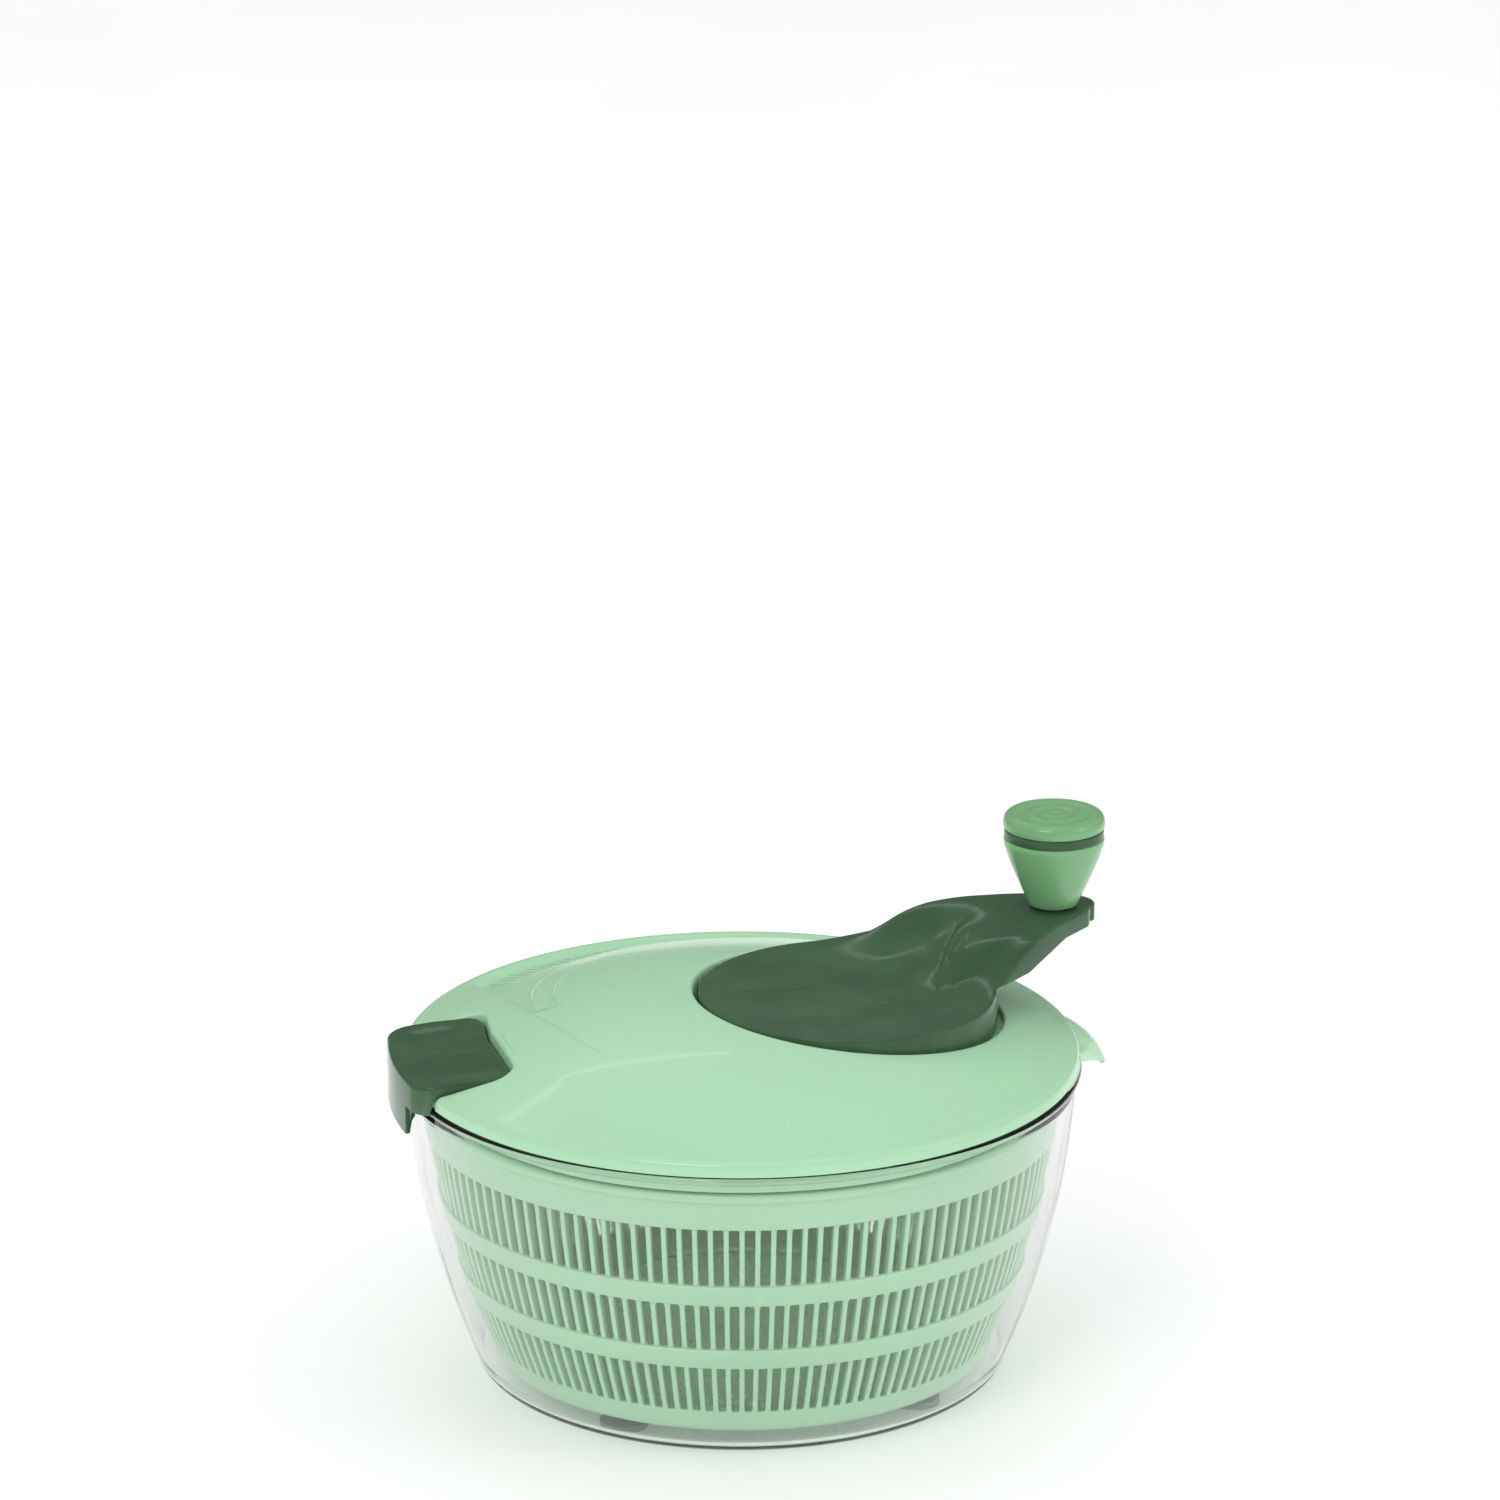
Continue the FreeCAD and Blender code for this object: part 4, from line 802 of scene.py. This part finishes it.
def arm_half_width(along):
    """Half the arm's width, through the few places that give its shape."""
    knots = [(36, 41.6), (47, 38.8), (56, 35), (64, 30.2), (73, 25.4), (82, 21.8), (90, 17.6), (97, 12.4),
             (103, 6)]
    if along <= knots[0][0]:
        return math.sqrt(max(CRANK_DISC**2 - along**2, 0))
    for index in range(len(knots) - 1):
        (x0, y0), (x1, y1) = knots[index], knots[index + 1]
        if along <= x1:
            before = knots[max(index - 1, 0)]
            after = knots[min(index + 2, len(knots) - 1)]
            slope0 = (y1 - before[1]) / (x1 - before[0])
            slope1 = (after[1] - y0) / (after[0] - x0)
            t, span = (along - x0) / (x1 - x0), x1 - x0
            return ((2 * t**3 - 3 * t**2 + 1) * y0 + (t**3 - 2 * t**2 + t) * span * slope0
                    + (3 * t**2 - 2 * t**3) * y1 + (t**3 - t**2) * span * slope1)
    return 0


def crank_plan():
    """The crank's outline along its own arm: the disc, a straight side, a blunt tip and a flowing side."""
    back_touch, front_touch = math.acos(36 / CRANK_DISC), math.acos(41 / CRANK_DISC)
    disc = circle(CRANK_DISC, steps=180, start=back_touch, turn=2 * math.pi - back_touch - front_touch)
    back = [(36 + 67 * step / 80, arm_half_width(36 + 67 * step / 80)) for step in range(1, 81)]
    front = []
    for step in range(1, 76):
        x = 41 + 62 * step / 75
        straight = math.sqrt(CRANK_DISC**2 - 41**2) - (x - 41) * 0.452
        front.append((x, -min(straight, arm_half_width(x))))
    tip = [(103 + 3.9 * math.sin(a), -6 * math.cos(a))
           for a in (math.pi * step / 24 for step in range(1, 24))]
    return disc + front + tip + back[::-1]


def ramp(along):
    """The height of the arm's face: level disc, an arc up, an arc over, level tip."""
    start, end, bow = 14, 74, 60
    middle, rise = (start + end) / 2, (ARM_TOP - DISC_TOP) / 2
    if along <= start:
        return DISC_TOP
    if along >= end:
        return ARM_TOP
    near = along - start if along < middle else end - along
    swing = bow - math.sqrt(bow**2 - near**2)
    full = bow - math.sqrt(bow**2 - (middle - start) ** 2)
    part = rise * swing / full
    return DISC_TOP + part if along < middle else ARM_TOP - part


# The crease in the crank's face, along the crank's own arm
CREASE = [(-43, 22), (-30, 21), (-14, 15), (-2, 6), (9, -9), (16, -19), (22, -23.5), (27, -19), (34, -8),
          (44, 2), (54, 10), (63, 13)]


def make_crank():
    outline = crank_plan()
    to_edge = distance_outside(outline)
    path = [Vector(point) for point in CREASE]

    def beside_crease(x, y):
        """How far a point is from the crease, positive on the arm's front side, and the place along it."""
        here, best = Vector((x, y)), (1e9, 0, 0)
        for index, (a, b) in enumerate(zip(path, path[1:])):
            along = min(max((here - a).dot(b - a) / (b - a).length_squared, 0), 1)
            off = here - a - (b - a) * along
            if off.length < best[0]:
                side = (b - a).x * (here - a).y - (b - a).y * (here - a).x
                best = (off.length, math.copysign(off.length, -side), (index + along) / (len(path) - 1))
        return best[1], best[2]

    def top(x, y):
        inside_by = -to_edge(x, y)
        near_knob = math.hypot(x - knob_throw, y)
        level_seat = smooth((near_knob - 13) / 12)
        depth = 1.9 * smooth(inside_by / 26) * level_seat
        front_lag = 0.3 * max(-y, 0) * smooth(-y / 20) * smooth(x / 30)
        off, place = beside_crease(x, y)
        ends = smooth(place / 0.08) * smooth((1 - place) / 0.12)
        step = 0.46 * (smooth(off / 1.4 + 0.5) - 0.5) * math.exp(-(off / 5) ** 2)
        second = 0.3 * (smooth((off - 5.5) / 1.3 + 0.5) - 0.5) * math.exp(-((off - 5.5) / 3) ** 2)
        second *= smooth((place - 0.25) / 0.1) * smooth((0.92 - place) / 0.1)
        creases = (step + second) * ends * level_seat
        return ramp(x - front_lag) - depth - creases - rounded_over(inside_by, 0.9)

    def bottom(x, y):
        radius = math.hypot(x, y)
        if radius < 7:
            return 127.2
        if radius < 52:
            return ramp(min(x, 40)) - 5.9
        if radius < 55.02:
            return 131
        tip_rise = (152.5 - ARM_UNDER) * min(max((x - 62) / 23, 0), 1)
        return ARM_UNDER + tip_rise + rounded_over(-to_edge(x, y), 0.8)

    lines = [(circle(r, steps=180), True) for r in (51.95, 52.05)]
    lines += [(circle(r, steps=48), True) for r in (6.95, 7.05)]
    arc = [(x, y) for x, y in circle(55.0, steps=180) if x > 37]
    arc.sort(key=lambda p: p[1])
    lines += [(arc, False), ([(x * 1.0015, y * 1.0015) for x, y in arc], False)]
    for inward in (0.05, 0.2, 0.5, 0.9, 1.6):
        ring = []
        for index, (x, y) in enumerate(outline):
            ahead, back = Vector(outline[(index + 1) % len(outline)]), Vector(outline[index - 1])
            side = (ahead - back).normalized()
            ring.append((x - side.y * inward, y + side.x * inward))
        lines.append((ring, True))
    for offset in (-0.9, -0.45, 0, 0.45, 0.9, 4.8, 5.5, 6.2):
        line = []
        for a, b in zip(path, path[1:]):
            away = Vector(((b - a).y, -(b - a).x)).normalized() * offset
            line += [tuple(a + (b - a) * step / 6 + away) for step in range(6)]
        line = [(x, y) for x, y in line if to_edge(x, y) < -2]
        lines.append((line, False))
    plan = plan_shell(outline, [], lines, lattice(112, 1.9), top, bottom, clear=0.6)
    key = revolved([(0, 121.2), (6.6, 121.2), (6.8, 127.4), (0, 127.4)], steps=6)
    shape = moved(joined(plan, key), crank_turn, crank_axis)
    make_piece("crank_arm", shape, smoke_green, "crank", ["crank"], sharp=40)


def make_knob():
    low, high = cone_low.z, cone_high.z
    foot, wide = 9.4, 18.8
    flank = [(foot + (wide - 0.7 - foot) * smooth_rise(step / 16), low + 1 + (high - 5 - low) * step / 16)
             for step in range(17)]
    cone = [(3.06, low), (foot - 1.4, low), (foot - 0.5, low + 0.2), *flank,
            (wide - 0.15, high - 2.4), (wide, high - 1.2), (wide - 0.1, high - 0.4), (wide - 0.5, high),
            (12, high), (12, high - 2.8), (3.06, high - 2.8)]
    cone = revolved(cone, knob_axis, 128)
    make_piece("knob_cone", cone, knob_mint, "knob", ["knob_body"])
    band = rounded([(12.06, band_low.z, 0.1), (wide - 0.2, band_low.z, 0.5), (wide - 0.2, band_high.z, 0.5),
                    (12.06, band_high.z, 0.1)], steps=4)
    band = revolved(band, knob_axis, 128)
    make_piece("knob_ring", band, smoke_green, "knob", ["knob_band"])
    rim, top, seat = cap_high.x - knob_axis.x, cap_high.z, band_high.z
    face = []
    for step in range(60, -1, -1):
        r = (rim - 2.4) * step / 60
        rings = 0.25 * math.cos(2 * math.pi * (r - 14.8) / 6.2) - 0.25
        face.append((r, top + rings * smooth(r / 2.5) - 0.5 * (1 - smooth(r / 4))))
    crown = [(rim - 2.4 + 2.4 * math.cos(a), seat + 1.9 + (top - seat - 1.9) * math.sin(a))
             for a in (math.pi / 2 * step / 10 for step in range(10))]
    cap = [(0, cap_low.z), (11.9, cap_low.z), (11.9, seat), (rim - 0.9, seat), (rim - 0.2, seat + 0.5),
           *crown, *face]
    make_piece("knob_top", revolved(cap, knob_axis, 128), knob_mint, "knob", ["knob_cap"])


def smooth_rise(share):
    """The knob's flank: straight low down and curving out to upright at the top."""
    return share * 1.12 - 0.12 * share**4


# ---------------------------------------------------------------- drive plate

def make_drive_plate():
    low, high = extent("drive_plate")
    plate_low, plate_top, radius = high.z - 2.3, high.z, 114.3
    to_plate = radius

    def top(x, y):
        return plate_top - rounded_over(to_plate - math.hypot(x, y), 0.7)

    def bottom(x, y):
        return plate_low - (1 if math.hypot(x, y) < 13 else 0)

    holes = [circle(4.06, steps=48)]
    for index in range(6):
        angle = math.radians(60 * index)
        holes.append(circle(13, (62 * math.cos(angle), 62 * math.sin(angle)), steps=64))
    lines = [(circle(radius - d), True) for d in (0.1, 0.35, 0.7)]
    lines += [(circle(r, steps=64), True) for r in (12.95, 13.05)]
    plate = plan_shell(circle(radius), holes, lines, lattice(radius, 7), top, bottom, clear=2)
    fins = []
    for index in range(8):
        sections = []
        for step in range(15):
            share = step / 14
            z = low.z + (plate_low + 0.4 - low.z) * share
            inner = 101 + 5.4 * (1 - share) ** 1.5 + (1.4 * (1 - share * 4) ** 2 if share < 0.25 else 0)
            outer = 113.2 - 1.2 * (1 - share) - (1.6 * (1 - share * 4) ** 2 if share < 0.25 else 0)
            half = 1.3 - 0.35 * (1 - share) - (0.45 * (1 - share * 4) ** 2 if share < 0.25 else 0)
            corners = rounded([(x, y, 0.4 * half) for x, y in (
                (inner, -half), (outer, -half), (outer, half), (inner, half))], steps=3)
            sections.append([(x, y, z) for x, y in corners])
        fins.append(moved(loft(sections), math.radians(45 * index)))
    make_piece("finned_plate", joined(plate, *fins), mint, "drive", ["drive_plate"])


make_bowl()
make_feet()
make_basket()
make_lid()
make_latch()
make_crank()
make_knob()
make_drive_plate()

STEEL_NODES = "latch_pin", "crank_washer", "crank_screw", "knob_spindle", "plate_washer", "plate_screw"
GEAR_NODES = "crank_gear", "drive_pinion"
for names, material in ((STEEL_NODES, bright_steel), (GEAR_NODES, white_plastic)):
    for name in names:
        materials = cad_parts[name].data.materials
        materials.clear()
        materials.append(material)


# ---------------------------------------------------------------- floor, light and camera

def make_floor():
    mesh = bpy.data.meshes.new("floor")
    reach = 12
    corners = [(-reach, -reach, 0), (reach, -reach, 0), (reach, reach, 0), (-reach, reach, 0)]
    mesh.from_pydata(corners, [], [(0, 1, 2, 3)])
    floor = bpy.data.objects.new("floor", mesh)
    bpy.context.scene.collection.objects.link(floor)
    nodes = Nodes("pale_floor")
    paper = nodes.mix(nodes.ramp(nodes.noise(300, 3), 0, 1), (0.86, 0.86, 0.86, 1), (0.89, 0.89, 0.89, 1))
    nodes.link(paper, nodes.shader.inputs["Base Color"])
    nodes.set(Roughness=0.7, Specular_IOR_Level=0.2, Emission_Color=(1, 1, 1, 1), Emission_Strength=0.14)
    mesh.materials.append(nodes.material)


def make_light(name, place, target, size, power, in_gloss=True):
    """A soft lamp; in_gloss says whether glossy surfaces mirror it (light.visible_glossy)."""
    lamp = bpy.data.lights.new(name, "AREA")
    lamp.shape = "RECTANGLE"
    lamp.size, lamp.size_y = size
    lamp.energy = power
    light = bpy.data.objects.new(name, lamp)
    bpy.context.scene.collection.objects.link(light)
    light.location = place
    light.rotation_mode = "QUATERNION"
    light.rotation_quaternion = (Vector(target) - Vector(place)).to_track_quat("-Z", "Y")
    light.visible_glossy = in_gloss


def make_world():
    world = bpy.data.worlds.new("studio")
    world.use_nodes = True
    background = world.node_tree.nodes["Background"]
    background.inputs["Color"].default_value = (1, 1, 1, 1)
    background.inputs["Strength"].default_value = 0.92
    bpy.context.scene.world = world


def make_surround():
    """A grey band round the set that only gloss and clear plastic see, for darker edges and reflections."""
    points, faces = [], []
    for step in range(64):
        angle = 2 * math.pi * step / 64
        points += [(2.8 * math.cos(angle), 2.8 * math.sin(angle), up) for up in (0.01, 8)]
        after = (step + 1) % 64
        faces.append((2 * step, 2 * after, 2 * after + 1, 2 * step + 1))
    mesh = bpy.data.meshes.new("surround")
    mesh.from_pydata(points, [], faces)
    surround = bpy.data.objects.new("surround", mesh)
    bpy.context.scene.collection.objects.link(surround)
    nodes = Nodes("grey_surround")
    nodes.set(Base_Color=(0, 0, 0, 1), Specular_IOR_Level=0)
    nodes.set(Emission_Color=(0.16, 0.17, 0.16, 1), Emission_Strength=1)
    mesh.materials.append(nodes.material)
    surround.visible_camera = False
    surround.visible_diffuse = False
    surround.visible_shadow = False


AZIMUTH, ELEVATION, LENS = -11.5, 18.2, 200
FRAME_WIDTH = 0.5435
AIM_UP, AIM_RIGHT = 0.2385, 0.0033


def make_camera():
    azimuth, elevation = math.radians(AZIMUTH), math.radians(ELEVATION)
    back = Vector((math.sin(azimuth) * math.cos(elevation), -math.cos(azimuth) * math.cos(elevation),
                   math.sin(elevation)))
    right = Vector((math.cos(azimuth), math.sin(azimuth), 0))
    data = bpy.data.cameras.new("camera")
    data.lens = LENS
    data.clip_end = 100
    camera = bpy.data.objects.new("camera", data)
    bpy.context.scene.collection.objects.link(camera)
    aim = Vector((0, 0, AIM_UP)) + right * AIM_RIGHT
    camera.location = aim + back * FRAME_WIDTH * LENS / data.sensor_width
    camera.rotation_mode = "QUATERNION"
    camera.rotation_quaternion = (-back).to_track_quat("-Z", "Y")
    bpy.context.scene.camera = camera


make_floor()
make_world()
make_surround()
make_light("key", (-0.9, -1.3, 1.7), (0, 0, 0.1), (0.9, 0.6), 9)
make_light("fill", (1.5, -0.8, 1.1), (0, 0, 0.1), (0.7, 1.1), 4)
make_light("back", (0.3, 1.6, 1.3), (0, 0, 0.15), (1.4, 0.5), 4, in_gloss=False)
make_light("strip", (-0.1, 1.6, 1.45), (0, 0, 0.3), (0.8, 0.035), 0.35)
make_camera()
bpy.context.scene.view_settings.view_transform = "Standard"
